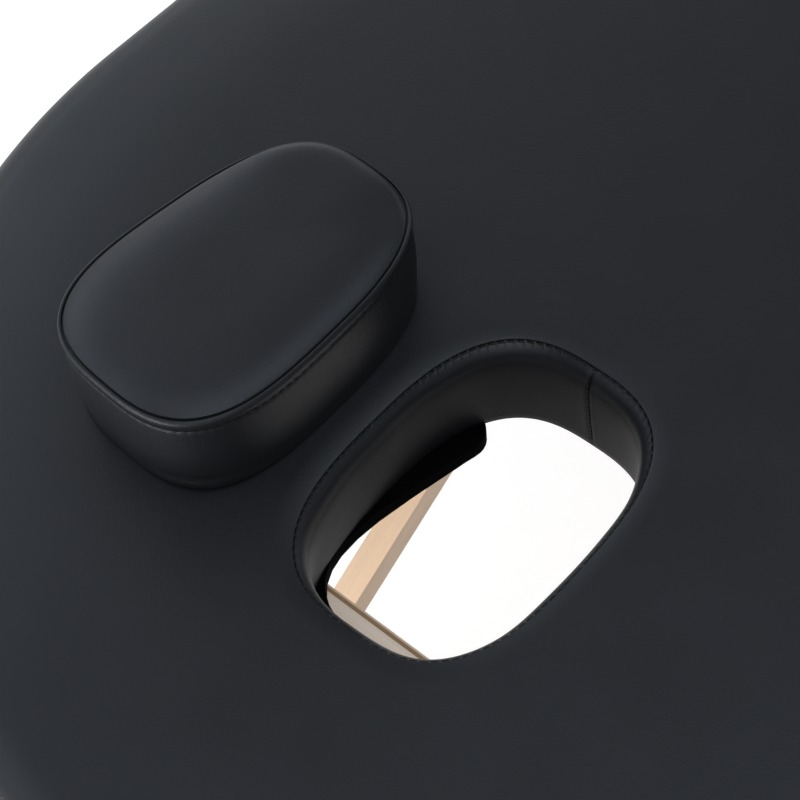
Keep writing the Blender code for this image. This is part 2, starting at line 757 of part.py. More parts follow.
def latch_stud_mesh():
    """Headed stud in the foot half's left rail, which the hook drops over when the table is folded."""
    bm = bmesh.new()
    neck = RAIL_OUTER + GAP + LATCH_PLATE + RUN
    profile = [(RAIL_OUTER - LATCH_STUD_DEPTH, LATCH_STUD), (neck, LATCH_STUD), (neck, LATCH_STUD_HEAD),
               (neck + LATCH_STUD_HEAD_THICKNESS, LATCH_STUD_HEAD)]
    add_turned(bm, LATCH_X, LATCH_Z, profile)
    return bm


def plug_outline(grow):
    """Outline of the plug where it lies on the top, grown outwards."""
    size = (PLUG_LENGTH + 2 * grow, PLUG_WIDTH + 2 * grow)
    return oval(*size, PLUG_POWER, PLUG_STEPS, PLUG_CENTRE, PLUG_TURN_DEG, PLUG_EGG)


def plug_rows(offset, low_z):
    """Rows of (growth, height) up the plug's tapered side, over its welt and up its crowned top."""
    seam = PLUG_LOW + PLUG_SEAM_HEIGHT - offset
    rows = [(-PLUG_TAPER, low_z), (-PLUG_TAPER / 2, (low_z + seam) / 2), (0.0, seam - 3 * PLUG_WELT),
            (PLUG_WELT, seam - PLUG_WELT), (-PLUG_WELT, seam)]
    for step in range(1, PLUG_CROWN_STEPS + 1):
        angle = math.pi / 2 * step / PLUG_CROWN_STEPS
        run = PLUG_CROWN_RUN * (1 - math.cos(angle) ** (2 / PLUG_CROWN_POWER))
        rows.append((-PLUG_WELT - run, seam + PLUG_CROWN * math.sin(angle) ** (2 / PLUG_CROWN_POWER)))
    return [(grow - offset, z) for grow, z in rows]


def add_plug_surface(bm, offset, low_z):
    """Add the side and crowned top of the plug. Return its lowest row."""
    rows = [[bm.verts.new((x, y, z)) for x, y in plug_outline(grow)] for grow, z in plug_rows(offset, low_z)]
    bridge_rows(bm, rows)
    fill_across(bm, [rows[-1]], "Z")
    return rows[0]


def plug_cover_mesh():
    """Leatherette skin of the plug, open at its base."""
    bm = bmesh.new()
    outer = add_plug_surface(bm, 0.0, PLUG_LOW)
    inner = add_plug_surface(bm, COVER_THICKNESS, PLUG_LOW)
    bridge_rows(bm, [outer, inner])
    return bm


def plug_base_mesh():
    """Board that the plug's cover is fixed to."""
    bm = bmesh.new()
    add_prism(bm, [plug_outline(-PLUG_TAPER - SKIN)], PLUG_LOW, PLUG_LOW + PLUG_BASE, "Z")
    return bm


def plug_foam_mesh():
    """Foam inside the plug, on its base."""
    bm = bmesh.new()
    low = add_plug_surface(bm, SKIN, PLUG_LOW + PLUG_BASE + GAP)
    fill_across(bm, [low], "Z")
    return bm


def build_half(prefix, end, finishes, section, has_hole):
    """Build the padded top, frame and leg hangers of one half."""
    def add(name, bm, finish):
        return add_piece(f"{prefix}_{name}", bm, finishes[finish], section, end)

    add("cover", cover_mesh(has_hole), "leatherette")
    add("foam", foam_mesh(has_hole), "foam")
    add("deck", deck_mesh(has_hole), "plywood")
    add("end_apron", apron_mesh(), "beech")
    add("centre_rail", centre_rail_mesh(), "beech")
    for word, side in SIDES:
        add(f"side_rail_{word}", side_rail_mesh(side), "beech")
        add(f"leg_hanger_{word}", hanger_mesh(side), "beech")
    rail = add("strut_rail", strut_rail_mesh(), "beech")
    cut(rail, strut_bore_mesh(STRUT_FRAME, UPPER_STRUT[0] - RUN), section, end)
    leaf = add("hinge_leaf", hinge_leaf_mesh(), "steel")
    cut(leaf, knuckle_gap_mesh(1 if end == 1 else 0), section, end)
    add("carry_handle", handle_mesh(), "webbing")


def build_legs(prefix, end, finishes, section):
    """Build one leg frame with its extensions, knobs, feet and elbow struts."""
    outside = end == -1
    legs = make_pivot(f"{prefix}_leg_axis", (end * LEG_X, 0.0, LEG_PIVOT_Z), section)
    lower = make_pivot(f"{prefix}_lower_strut_axis", (end * STRUT_LEG[0], 0.0, STRUT_LEG[1]), legs)
    upper = make_pivot(f"{prefix}_upper_strut_axis", (end * STRUT_FRAME[0], 0.0, STRUT_FRAME[1]), section)

    def add(name, bm, finish, pivot):
        return add_piece(f"{prefix}_{name}", bm, finishes[finish], pivot, end)

    add("top_crossbar", top_bar_mesh(), "beech", legs)
    low_bar = add("low_crossbar", low_bar_mesh(), "beech", legs)
    cut(low_bar, strut_bore_mesh(STRUT_LEG, LOWER_STRUT[0] - RUN), legs, end)
    for word, side in SIDES:
        clamp = (end * EXTENSION_X, side * sum(extension_span(outside)) / 2, KNOB_Z)
        slide = make_pivot(f"{prefix}_slide_{word}", clamp, legs)
        turn = make_pivot(f"{prefix}_knob_axis_{word}", clamp, legs)
        add(f"leg_{word}", leg_mesh(side), "beech", legs)
        add(f"extension_{word}", extension_mesh(side, outside), "beech", slide)
        add(f"rubber_foot_{word}", rubber_foot_mesh(side, outside), "rubber", slide)
        add(f"knob_{word}", knob_mesh(side, outside), "plastic", turn)
        add(f"lower_strut_{word}", strut_mesh(side, STRUT_LEG, TAIL, LOWER_STRUT), "beech", lower)
        add(f"upper_strut_{word}", strut_mesh(side, STRUT_FRAME, ELBOW, UPPER_STRUT), "beech", upper)


def build_plug(finishes, section):
    """Build the plug cushion that lies beside the face hole."""
    place = make_pivot("plug_place", (*PLUG_CENTRE, PLUG_LOW), section)
    add_piece("plug_cover", plug_cover_mesh(), finishes["leatherette"], place)
    add_piece("plug_foam", plug_foam_mesh(), finishes["foam"], place)
    add_piece("plug_base", plug_base_mesh(), finishes["plywood"], place)


def build_table():
    """Build every piece of the table."""
    clear_scene()
    finishes = {
        "leatherette": make_material("leatherette", (0.028, 0.029, 0.034), 0.42),
        "foam": make_material("foam", (0.72, 0.68, 0.55), 0.95),
        "plywood": make_material("plywood", (0.62, 0.45, 0.28), 0.60),
        "beech": make_material("beech", (0.72, 0.50, 0.31), 0.45),
        "steel": make_material("steel", (0.55, 0.56, 0.58), 0.35, 1.0),
        "rubber": make_material("rubber", (0.020, 0.020, 0.021), 0.80),
        "plastic": make_material("plastic", (0.024, 0.024, 0.026), 0.50),
        "webbing": make_material("webbing", (0.022, 0.022, 0.024), 0.85),
    }
    fold_axis = (0.0, 0.0, HINGE_Z)
    head = make_pivot("head_section", fold_axis)
    foot = make_pivot("foot_section", fold_axis, head)
    build_half("head", 1, finishes, head, True)
    build_half("foot", -1, finishes, foot, False)
    build_legs("head", 1, finishes, head)
    build_legs("foot", -1, finishes, foot)
    build_plug(finishes, head)
    add_piece("face_hole_lining", lining_mesh(), finishes["leatherette"], head)
    add_piece("plug_ledge", ledge_mesh(), finishes["plastic"], head)
    add_piece("hinge_pin", hinge_pin_mesh(), finishes["steel"], head)
    add_piece("latch_stud", latch_stud_mesh(), finishes["steel"], foot, -1)
    hook = make_pivot("latch_axis", (LATCH_X, RAIL_OUTER, LATCH_Z), head)
    add_piece("latch_hook", latch_hook_mesh(), finishes["steel"], hook)


build_table()
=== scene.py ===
"""Looks of the folding massage table: leatherette, stitching, beech and steel, and the studio round it.

All sizes are in metres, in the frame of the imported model: +X runs to the head end, +Y to the left
side and +Z up.
"""
import math

import bmesh
import bpy
import numpy as np
from mathutils import Matrix, Vector


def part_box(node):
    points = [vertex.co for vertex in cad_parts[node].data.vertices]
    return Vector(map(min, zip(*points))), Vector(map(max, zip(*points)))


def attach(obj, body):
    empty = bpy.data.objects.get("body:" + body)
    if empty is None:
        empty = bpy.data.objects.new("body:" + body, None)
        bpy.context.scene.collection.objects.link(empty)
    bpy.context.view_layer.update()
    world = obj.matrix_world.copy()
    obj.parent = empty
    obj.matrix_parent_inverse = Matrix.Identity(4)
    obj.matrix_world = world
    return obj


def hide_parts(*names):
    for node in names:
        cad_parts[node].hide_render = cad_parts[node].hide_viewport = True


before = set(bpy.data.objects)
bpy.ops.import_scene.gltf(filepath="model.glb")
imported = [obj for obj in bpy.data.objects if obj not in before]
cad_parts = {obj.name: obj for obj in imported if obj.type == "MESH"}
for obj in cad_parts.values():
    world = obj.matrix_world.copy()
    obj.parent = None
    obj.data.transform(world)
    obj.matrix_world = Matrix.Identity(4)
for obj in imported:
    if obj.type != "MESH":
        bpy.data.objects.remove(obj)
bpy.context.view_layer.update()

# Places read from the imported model
COVER_LOW, COVER_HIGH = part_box("head_cover")
LINING_LOW, LINING_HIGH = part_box("face_hole_lining")
DECK_LOW, DECK_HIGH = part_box("head_deck")
LATCH_LOW, LATCH_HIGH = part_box("latch_hook")
TOP_Z = COVER_HIGH.z
DECK_LOW_Z = DECK_LOW.z
DECK_TOP_Z = DECK_HIGH.z
END_RADIUS = COVER_HIGH.y
END_X = COVER_HIGH.x - END_RADIUS
FOLD_X = COVER_LOW.x
HOLE_X = (LINING_LOW.x + LINING_HIGH.x) / 2
PLUG_LOW_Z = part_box("plug_cover")[0].z

# Gap kept to a neighbour, and the thickness of the leatherette
GAP = 0.0003
SKIN = 0.0014

# Padded top: rolled edge, crown, and the skin that is turned under the deck
EDGE_ROLL = 0.034
SIDE_DRAW = 0.004
SIDE_SWELL = 0.0008
SIDE_START = 0.06
CROWN = 0.004
CROWN_RUN = 0.110
FOLD_CORNER = 0.040
DECK_INSET = 0.0054
WRAP_INSET = 0.021
WRAP_SKIN = 0.0008
WRAP_START = 0.030
WRAP_RUN = 0.030
HEM_BACK = 0.0006
HEM_MIDDLE = 0.0010
HEM_FOLD = 0.0016
HEM_ROUND = 0.0004
PLEAT_PITCH = 0.031
PLEAT_DEPTH = 0.0007
SIDE_ROWS = 9
ROLL_ROWS = 12
CROWN_ROWS = 8
FLAT_ROWS = 24
FOOT_SPOKE_X = 0.45
FOOT_HUB = 0.004

# Spokes of a half: their number, and how much edge length, edge turn and angle draw them together
SPOKES = 480
SPOKE_SHARES = (0.4, 0.3, 0.3)
FINE_SPOKES = 7200

# Waves of the foam: height, and rows of (radians per metre of X, of Y, phase, weight)
TOP_WAVE = 0.00022
TOP_WAVES = ((7.1, 3.3, 0.4, 1.0), (-4.7, 9.2, 1.9, 1.0), (13.7, -6.1, 5.0, 0.7))

# Face hole, its outline as (length, width, power, egg), and its rim, tucked in by rows of (growth, drop)
HOLE_POWER = 2.8
OVAL_STEPS = 20001
HOLE_LENGTH = LINING_HIGH.x - LINING_LOW.x - 2 * SKIN
HOLE_WIDTH = LINING_HIGH.y - LINING_LOW.y - 2 * SKIN
HOLE_SHAPE = (HOLE_LENGTH, HOLE_WIDTH, HOLE_POWER, 0.0)
RIM_RUN = 0.014
RIM_DROP = 0.0027
RIM_ROWS = 14
RIM_TUCK = ((0.0026, 0.0037), (0.0030, 0.0049), (0.0026, 0.0100))
LIP_START = 0.0024
LIP_RADIUS = 0.0010
LIP_TURN = math.radians(112)
LIP_ROWS = 8

# Lining: padded shoulder, ridges between the stitches, and slack as rows of (depth, waves, phase)
LINING_TOP_Z = TOP_Z - 0.0036
LINING_DEPTH = LINING_TOP_Z - DECK_LOW_Z + 0.0004
LINING_TOP_GROW = 0.0016
LINING_SHOULDER = 0.0070
LINING_SHOULDER_RUN = 0.0050
LINING_LEAN = 0.0061
LINING_LEAN_POWER = 1.5
LINING_HEM = 0.0005
LINING_EDGE = 0.0006
LINING_EDGE_GROW = 0.0003
LINING_BACK = 0.0040
LINING_POINTS = 1100
LINING_ROWS = 29
RIDGE = 0.0009
RIDGE_RUN = 0.0008
RIDGE_POWER = 5
SLACK_WAVES = ((0.0003, 5, 0.7), (0.0002, 11, 0.0))

# Upright seam of the lining, in bells of (height, middle, width): valley with lips, and pinched edge
VALLEY = ((0.0009, 0.0, 0.0010), (-0.0002, 0.0030, 0.0016))
VALLEY_FADE = 12
PINCH = ((0.0010, 0.0, 0.0020),)
PINCH_RUN = 0.003

# Stitches: pitch and place of each row, and (length, radius) of one stitch
THREAD = 0.00050
STITCH_PITCH = 0.0050
RIM_STITCH = (0.80 * STITCH_PITCH, 1.2 * THREAD)
RIM_STITCH_GROW = 0.0012
RIM_STITCH_DROP = 0.0037
SEAM_PITCH = 0.0042
SEAM_STITCH = (0.75 * SEAM_PITCH, THREAD)
SEAM_STITCH_SINK = 0.0005
SEAM_START = 0.0050
SEAM_END = 0.0020
PLUG_STITCH = (0.72 * STITCH_PITCH, 0.8 * THREAD)
PLUG_STITCH_GROW = 0.0001
HANDLE_STITCH = (0.0018, 0.00040)

# Plug cushion: outline as (length, width, power, egg), place, crown, and its bulge along the far edge
PLUG_WIDTH = 0.1246
PLUG_SHAPE = (0.1858, PLUG_WIDTH, 2.92, 0.103)
PLUG_ASIDE = -0.1471
PLUG_FORWARD = 0.0015
PLUG_TURN = math.radians(-3.54)
PLUG_POINTS = 720
PLUG_SEAM = 0.0606
PLUG_CROWN = 0.0070
PLUG_CROWN_START = -0.0020
PLUG_CROWN_RUN = 0.034
PLUG_CROWN_FADE = 0.0100
PLUG_CROWN_ROWS = 24
PLUG_BULGE = 0.0068
PLUG_BULGE_RUN = 0.0026
PLUG_BULGE_FADE = 2
PLUG_BULGE_SIDE = math.radians(201)
PLUG_BULGE_SPREAD = math.radians(50)

# Side of the plug, and at its near corner a roll and a hollow above it, in bells of (height, middle, width)
PLUG_BASE = 0.0060
PLUG_TAPER = 0.0010
PLUG_SKIN = 0.0015
PLUG_RIM = 0.025
PLUG_SWELL = 0.0010
PLUG_SIDE_LOW = 0.0030
PLUG_SIDE_ROWS = 22
PLUG_LEAN = 0.0006
PLUG_FOOT_LEAN = 0.0004
PLUG_TOPSTITCH = 0.0531
PLUG_SIDE_END = 0.0022
PLUG_PUCKER = 0.00012
PLUG_ROLL = ((0.0011, 0.0048, 0.0026), (-0.0007, 0.0105, 0.0022))
PLUG_ROLL_SIDE = math.radians(35)
PLUG_ROLL_SPREAD = math.radians(26)

# Rows round the plug: (growth, height) at its foot, and (growth, height, pucker) over topstitch and seam
PLUG_FOOT_ROWS = ((-PLUG_SKIN, 0.0007), (-0.0010, 0.0002), (0.0, 0.0003), (0.0008, 0.0016))
PLUG_SEWN_ROWS = ((0.0005, -0.0015, 0.6), (0.0002, -0.0006, 1.0), (0.0001, 0.0, 1.0), (0.0003, 0.0006, 1.0),
                  (0.0007, 0.0016, 0.7), (0.0010, 0.0028, 0.3), (0.0011, 0.0042, 0.15), (0.0010, 0.0055, 0.1))
PLUG_SEAM_ROWS = ((0.0006, -0.0008, 0.1), (-0.0001, -0.0002, 0.0), (-0.0008, -0.0004, 0.0),
                  (-0.0011, -0.0018, 0.0), (-0.0018, -0.0018, 0.0))

# Legs, struts, knobs, handles and small hardware
STRUT_SLOPE = math.radians(30.81)
STRUT_WIDTH = 0.022
STRUT_TO_LUG_BACK = 0.0445
STRUT_BOLT = 0.0068
LEG_PIVOT_Z = DECK_LOW_Z - 0.056
KNOB_LENGTH = 0.018
KNOB_BOLT = 0.0039
KNOB_BOLT_END = 0.0010
KNOB_LOBES = 5
KNOB_LOBE_ROWS = (4, 5, 6, 7)
KNOB_LOBE_DEPTH = 0.0014
HANDLE_FLAT = 0.020
HANDLE_THICKNESS = 0.0035
HANDLE_SLIM = 0.0001
HANDLE_POINTS = 121
HANDLE_SCREW = 0.0042
HANDLE_STITCH_INSET = 0.0030
HANDLE_STITCH_REACH = 0.0100
HANDLE_STITCHES = 9
HINGE_LEAF_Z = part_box("head_hinge_leaf")[1].z - 0.0020
HINGE_SCREW = 0.0030
HINGE_SCREW_X = 0.0122
HINGE_SCREW_REACH = 0.27
HINGE_SCREWS = 7
LATCH_X = LATCH_LOW.x + 0.009
LATCH_Z = LATCH_LOW.z + 0.0075
LATCH_BOLT = 0.0058
STAPLE_INSET = 0.0185
STAPLE_START = 0.10
STAPLE_PITCH = 0.035
STAPLE_ARC_DEG = 88
STAPLE_STEP_DEG = 4.6
STAPLE = (0.0105, 0.00050)
STAPLE_Z = DECK_LOW_Z - 0.0010

# Profiles of turned pieces: rows of (reach, radius), or of (reach, share of the radius)
HANDLE_WASHER = ((0.0, 0.0068), (0.0007, 0.0068), (0.0010, 0.0064), (0.0010, 0.0040))
KNOB_WASHER = ((0.0, 0.0070), (0.0, 0.0080), (0.0005, 0.0085), (0.0026, 0.0085), (0.0030, 0.0081),
               (0.0030, 0.0060))
PIVOT_CAP = ((-0.0004, 0.0110), (0.0004, 0.0110), (0.0014, 0.0102), (0.0022, 0.0080), (0.0026, 0.0045))
BOLT_SHARES = ((-0.0005, 1.0), (0.0004, 1.0), (0.0012, 0.94), (0.0019, 0.80), (0.0023, 0.58), (0.0023, 0.42),
               (0.0011, 0.40))
GRIP_SHARES = ((0.0, 0.62), (0.0006, 0.70), (0.0035, 0.74), (0.0055, 0.92), (0.0072, 1.0), (0.0125, 1.0),
               (0.0150, 0.97), (0.0168, 0.86), (0.0176, 0.70), (0.0178, 0.52), (0.0172, 0.48), (0.0171, 0.20))

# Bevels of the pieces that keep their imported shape
WOOD_EDGE = 0.0012
LEDGE_EDGE = 0.0010
SOFT_EDGE = 0.0006
SMALL_EDGE = 0.0004
HINGE_EDGE = 0.0002
CORNER_WELD = 0.00001

# Screw heads: sink, and shares of the radius or of the rise for the dome and the recess
SCREW_SINK = 0.0004
SCREW_RISE = 0.45
SCREW_DOME = 0.75
SCREW_ROWS = 6
SCREW_RECESS = ((1.0, 0.46), (0.55, 0.40))
SCREW_LOBES = 4
SCREW_LOBE_DEPTH = 0.13

# A quarter turn, and the angles from which an edge shows as sharp
QUARTER = math.radians(90)
SOFT_DEG = 50.0
TURNED_DEG = 40.0
BEVEL_DEG = 35.0

# Colours as linear red, green and blue: pairs from dark to pale, and single tones with their alpha
LEATHER_TONES = ((0.0058, 0.0060, 0.0070), (0.0070, 0.0073, 0.0086))
# Painted light: bluish tint on the leather's reflections, standing in for bluish light
LEATHER_PAINTED_BLUE_LIGHT = (0.85, 0.92, 1.0, 1.0)
BEECH_TONES = ((0.790, 0.585, 0.410), (0.870, 0.690, 0.520))
BEECH_STREAK = (0.700, 0.510, 0.350, 1.0)
BEECH_FLECK = (0.560, 0.370, 0.230, 1.0)
# Painted light: pale tone that a whole bar is blended towards, as if brightly lit
BEECH_PAINTED_LIGHT = (0.930, 0.860, 0.790, 1.0)
BEECH_LINE = (0.330, 0.215, 0.120, 1.0)
# Painted shade: tan tone on the faces of a bar turned towards X
BEECH_PAINTED_SHADE = (0.640, 0.490, 0.330, 1.0)
PLY_TONES = ((0.545, 0.385, 0.235), (0.700, 0.545, 0.375))
PLY_LINE = (0.470, 0.310, 0.180, 1.0)
STEEL_TONES = ((0.500, 0.505, 0.515), (0.620, 0.625, 0.640))
WEB_TONES = ((0.008, 0.008, 0.009), (0.030, 0.030, 0.033))
THREAD_TONES = ((0.0012, 0.0012, 0.0014), (0.0040, 0.0040, 0.0045))

# Camera of the photograph: place, line of sight, roll and focal length on a 36 mm wide frame
CAMERA_PLACE = Vector((1.0526, 0.3546, 1.4372))
CAMERA_BACK = Vector((0.3947, 0.4171, 0.8187)).normalized()
CAMERA_ROLL = math.asin(-0.1194)
CAMERA_LENS_MM = 88.44
CAMERA_SENSOR_MM = 36.0

# Studio: floor and its glow where it is seen, pale side of the surround, and the surround near the floor
FLOOR_REACH = 40.0
FLOOR_TONE = (0.55, 0.55, 0.55, 1.0)
FLOOR_GLOW = 0.60
PALE_SIDE = Vector((-0.35, -0.85, 0.40)).normalized()
SURROUND_TONES = ((0.10, 0.103, 0.11), (0.50, 0.525, 0.57))
HORIZON = (0.74, 0.74, 0.75, 1.0)

# Light panels: place, point that they face, size, power in watts and colour
PANELS = {
    "overhead": ((1.25, 0.55, 2.7), (0.75, 0.05, 0.6), (2.2, 2.2), 32.0, (0.95, 0.98, 1.0)),
    "foot_fill": ((-0.40, 0.85, 2.7), (0.65, -0.05, 0.6), (1.0, 1.0), 12.0, (0.90, 0.95, 1.0)),
    "key": ((1.82, 1.15, 2.23), (0.67, 0.0, 0.6), (2.0, 2.0), 15.0, (0.97, 0.98, 1.0)),
    "head_window": ((2.11, -1.64, 1.85), (0.67, -0.1, 0.6), (1.6, 1.6), 16.0, (0.86, 0.93, 1.0)),
    "right_window": ((0.60, -2.3, 2.0), (0.70, -0.1, 0.6), (1.8, 1.2), 19.0, (0.90, 0.95, 1.0)),
    "far_window": ((-1.35, -2.3, 1.45), (0.65, -0.2, 0.65), (1.8, 0.9), 12.0, (0.92, 0.96, 1.0)),
    "foot_card": ((-2.6, 0.5, 0.95), (0.7, 0.1, 0.66), (1.4, 0.7), 5.0, (0.95, 0.97, 1.0)),
    "low_head_side": ((2.7, -0.3, 0.34), (0.55, -0.1, 0.24), (1.8, 0.46), 46.0, (1.0, 0.98, 0.96)),
}

# Materials of the scene by the names that they are given here
FINISHES = {}


# Node helpers

def feed(tree, value, socket):
    """Link an output to a socket, or set the socket's own value."""
    if isinstance(value, bpy.types.NodeSocket):
        tree.links.new(value, socket)
    else:
        socket.default_value = value


def add_node(tree, kind, inputs=None, **settings):
    """Add a shader node with its settings and inputs."""
    node = tree.nodes.new("ShaderNode" + kind)
    for name, value in settings.items():
        setattr(node, name, value)
    for name, value in (inputs or {}).items():
        feed(tree, value, node.inputs[name])
    return node


def set_inputs(tree, shader, **values):
    """Feed inputs of a shader, named with underscores for spaces."""
    for socket, value in values.items():
        feed(tree, value, shader.inputs[socket.replace("_", " ")])


def start_material(name, **values):
    """Make a finish with values for its shader, and return its tree and its shader."""
    material = bpy.data.materials.new(name)
    material.use_nodes = True
    FINISHES[name] = material
    tree = material.node_tree
    shader = tree.nodes["Principled BSDF"]
    set_inputs(tree, shader, **values)
    return tree, shader


def place_node(tree, turn=(0.0, 0.0, 0.0)):
    """Coordinates of the piece, turned. They move with the piece."""
    where = add_node(tree, "TexCoord").outputs["Object"]
    return add_node(tree, "Mapping", {"Vector": where, "Rotation": turn}).outputs[0]


def noise(tree, where, scale, detail=3.0, rough=0.6, distort=0.0):
    """A noise texture's value."""
    inputs = {"Vector": where, "Scale": scale, "Detail": detail, "Roughness": rough, "Distortion": distort}
    return add_node(tree, "TexNoise", inputs).outputs["Fac"]


def grain(tree, where, scales, **settings):
    """Noise with a scale of its own along each axis."""
    stretched = add_node(tree, "Mapping", {"Vector": where, "Scale": scales}).outputs[0]
    return noise(tree, stretched, 1.0, **settings)


def ramp(tree, value, low, high, low_colour, high_colour):
    """Map a value between two limits onto two colours."""
    node = add_node(tree, "ValToRGB", {"Fac": value})
    stops = ((low, low_colour), (high, high_colour))
    for element, (position, colour) in zip(node.color_ramp.elements, stops):
        element.position = position
        element.color = (*colour, 1.0)
    return node.outputs["Color"]


def spread(tree, value, low, high, to_low, to_high):
    """Map a value from one range to another."""
    inputs = {"Value": value, "From Min": low, "From Max": high, "To Min": to_low, "To Max": to_high}
    return add_node(tree, "MapRange", inputs).outputs["Result"]


def blend_colours(tree, factor, first, second):
    """Mix two colours."""
    node = add_node(tree, "Mix", data_type="RGBA")
    feed(tree, factor, node.inputs[0])
    feed(tree, first, node.inputs[6])
    feed(tree, second, node.inputs[7])
    return node.outputs[2]


def reckon(tree, how, first, second):
    """One arithmetic step."""
    node = add_node(tree, "Math", operation=how)
    feed(tree, first, node.inputs[0])
    feed(tree, second, node.inputs[1])
    return node.outputs[0]


def bump(tree, shader, height, distance, strength=1.0):
    """Give a shader relief."""
    node = add_node(tree, "Bump", {"Height": height, "Distance": distance, "Strength": strength})
    tree.links.new(node.outputs["Normal"], shader.inputs["Normal"])


# Materials

def leatherette(name, shine, shine_upright=None):
    """Black leatherette with a fine pebbled grain, a satin finish and faint rub marks.

    Where shine_upright is given, upright faces have that duller finish.
    """
    # The reflections take the painted bluish tint of light
    tree, shader = start_material(name, Specular_IOR_Level=shine, Specular_Tint=LEATHER_PAINTED_BLUE_LIGHT)
    where = place_node(tree)
    cells = add_node(tree, "TexVoronoi", {"Vector": where, "Scale": 1000.0, "Randomness": 0.9})
    pebbles = spread(tree, cells.outputs["Distance"], 0.0, 0.75, 1.0, 0.0)
    creases = noise(tree, where, 420.0, distort=0.4)
    height = reckon(tree, "ADD", pebbles, reckon(tree, "MULTIPLY", creases, 0.9))
    bump(tree, shader, height, distance=0.00008, strength=0.75)
    cloud = noise(tree, where, 5.0, detail=4.0)
    rub = noise(tree, where, 16.0, detail=5.0, rough=0.65)
    set_inputs(tree, shader, Base_Color=ramp(tree, cloud, 0.35, 0.70, *LEATHER_TONES),
               Roughness=spread(tree, rub, 0.3, 0.7, 0.40, 0.48))
    if shine_upright is not None:
        normal = add_node(tree, "NewGeometry").outputs["Normal"]
        rise = add_node(tree, "SeparateXYZ", {"Vector": normal}).outputs["Z"]
        set_inputs(tree, shader, Specular_IOR_Level=spread(tree, rise, 0.10, 0.60, shine_upright, shine))


def round_arc(tree, where, centre):
    """Coordinates bent round a centre on the X axis: X along the arc, Y outwards from the centre."""
    split = add_node(tree, "SeparateXYZ", {"Vector": where})
    outward = reckon(tree, "SUBTRACT", split.outputs["X"], centre)
    across = reckon(tree, "MULTIPLY", outward, math.copysign(1.0, centre))
    angle = reckon(tree, "ARCTAN2", split.outputs["Y"], across)
    square = reckon(tree, "ADD", reckon(tree, "MULTIPLY", across, across),
                    reckon(tree, "MULTIPLY", split.outputs["Y"], split.outputs["Y"]))
    along = reckon(tree, "MULTIPLY", angle, END_RADIUS)
    depth = reckon(tree, "SQRT", square, 0.0)
    bent = add_node(tree, "CombineXYZ", {"X": along, "Y": depth, "Z": split.outputs["Z"]})
    return bent.outputs[0]


def beech(name, turn=(0.0, 0.0, 0.0), arc_centre=None, painted_light_shade=False):
    """Pale lacquered beech. The grain runs along X once turned, or round an arc about a centre.

    With painted light and shade, a bar is blended towards a pale tone all over as painted light, goes tan as
    painted shade on faces turned towards X, and has a dark line where its faces begin to turn towards X.
    """
    tree, shader = start_material(name)
    where = place_node(tree, turn)
    if arc_centre:
        where = round_arc(tree, where, arc_centre)
    bands = grain(tree, where, (1.6, 26.0, 26.0), detail=4.0, rough=0.55, distort=0.6)
    streaks = grain(tree, where, (9.0, 420.0, 420.0))
    flecks = grain(tree, where, (260.0, 1700.0, 1700.0), detail=1.0, rough=0.5)
    tone = ramp(tree, bands, 0.30, 0.72, *BEECH_TONES)
    if painted_light_shade:
        # Painted light: the bar is made paler all over
        tone = blend_colours(tree, 0.62, tone, BEECH_PAINTED_LIGHT)
    tone = blend_colours(tree, spread(tree, streaks, 0.35, 0.75, 0.0, 0.30), tone, BEECH_STREAK)
    tone = blend_colours(tree, spread(tree, flecks, 0.66, 0.80, 0.0, 0.50), tone, BEECH_FLECK)
    if painted_light_shade:
        normal = add_node(tree, "TexCoord").outputs["Normal"]
        sideways = add_node(tree, "SeparateXYZ", {"Vector": normal}).outputs["X"]
        aside = reckon(tree, "ABSOLUTE", sideways, 0.0)
        tone = blend_colours(tree, spread(tree, aside, 0.06, 0.16, 0.0, 1.0), tone, BEECH_LINE)
        # Painted shade: faces turned towards X go tan
        tone = blend_colours(tree, spread(tree, aside, 0.42, 0.60, 0.0, 1.0), tone, BEECH_PAINTED_SHADE)
    set_inputs(tree, shader, Base_Color=tone, Roughness=spread(tree, streaks, 0.3, 0.7, 0.34, 0.46))
    bump(tree, shader, reckon(tree, "ADD", streaks, flecks), distance=0.00005, strength=0.35)


def plywood():
    """Birch plywood, sanded and unpainted."""
    tree, shader = start_material("plywood", Roughness=0.60)
    where = place_node(tree)
    lines = grain(tree, where, (7.0, 330.0, 330.0))
    tone = ramp(tree, grain(tree, where, (2.2, 17.0, 17.0), detail=5.0, distort=1.6), 0.28, 0.75, *PLY_TONES)
    tone = blend_colours(tree, spread(tree, lines, 0.35, 0.75, 0.0, 0.30), tone, PLY_LINE)
    set_inputs(tree, shader, Base_Color=tone)
    bump(tree, shader, lines, distance=0.00006, strength=0.4)


def steel():
    """Plated steel with fine scratches."""
    tree, shader = start_material("steel", Metallic=1.0)
    where = place_node(tree)
    scratches = grain(tree, where, (60.0, 900.0, 2600.0))
    set_inputs(tree, shader, Base_Color=ramp(tree, noise(tree, where, 130.0), 0.3, 0.7, *STEEL_TONES),
               Roughness=spread(tree, scratches, 0.3, 0.7, 0.24, 0.40))
    bump(tree, shader, scratches, distance=0.00002, strength=0.3)


def dull_black(name, tone, roughness, grain_scale, grain_depth, shine=0.5):
    """Black rubber, plastic or paint with a fine grained texture."""
    tree, shader = start_material(name, Specular_IOR_Level=shine)
    where = place_node(tree)
    patch = noise(tree, where, 45.0)
    darker = tuple(0.75 * part for part in tone)
    set_inputs(tree, shader, Base_Color=ramp(tree, patch, 0.3, 0.7, darker, tone),
               Roughness=spread(tree, patch, 0.3, 0.7, roughness - 0.06, roughness + 0.06))
    bump(tree, shader, noise(tree, where, grain_scale), grain_depth, strength=0.5)


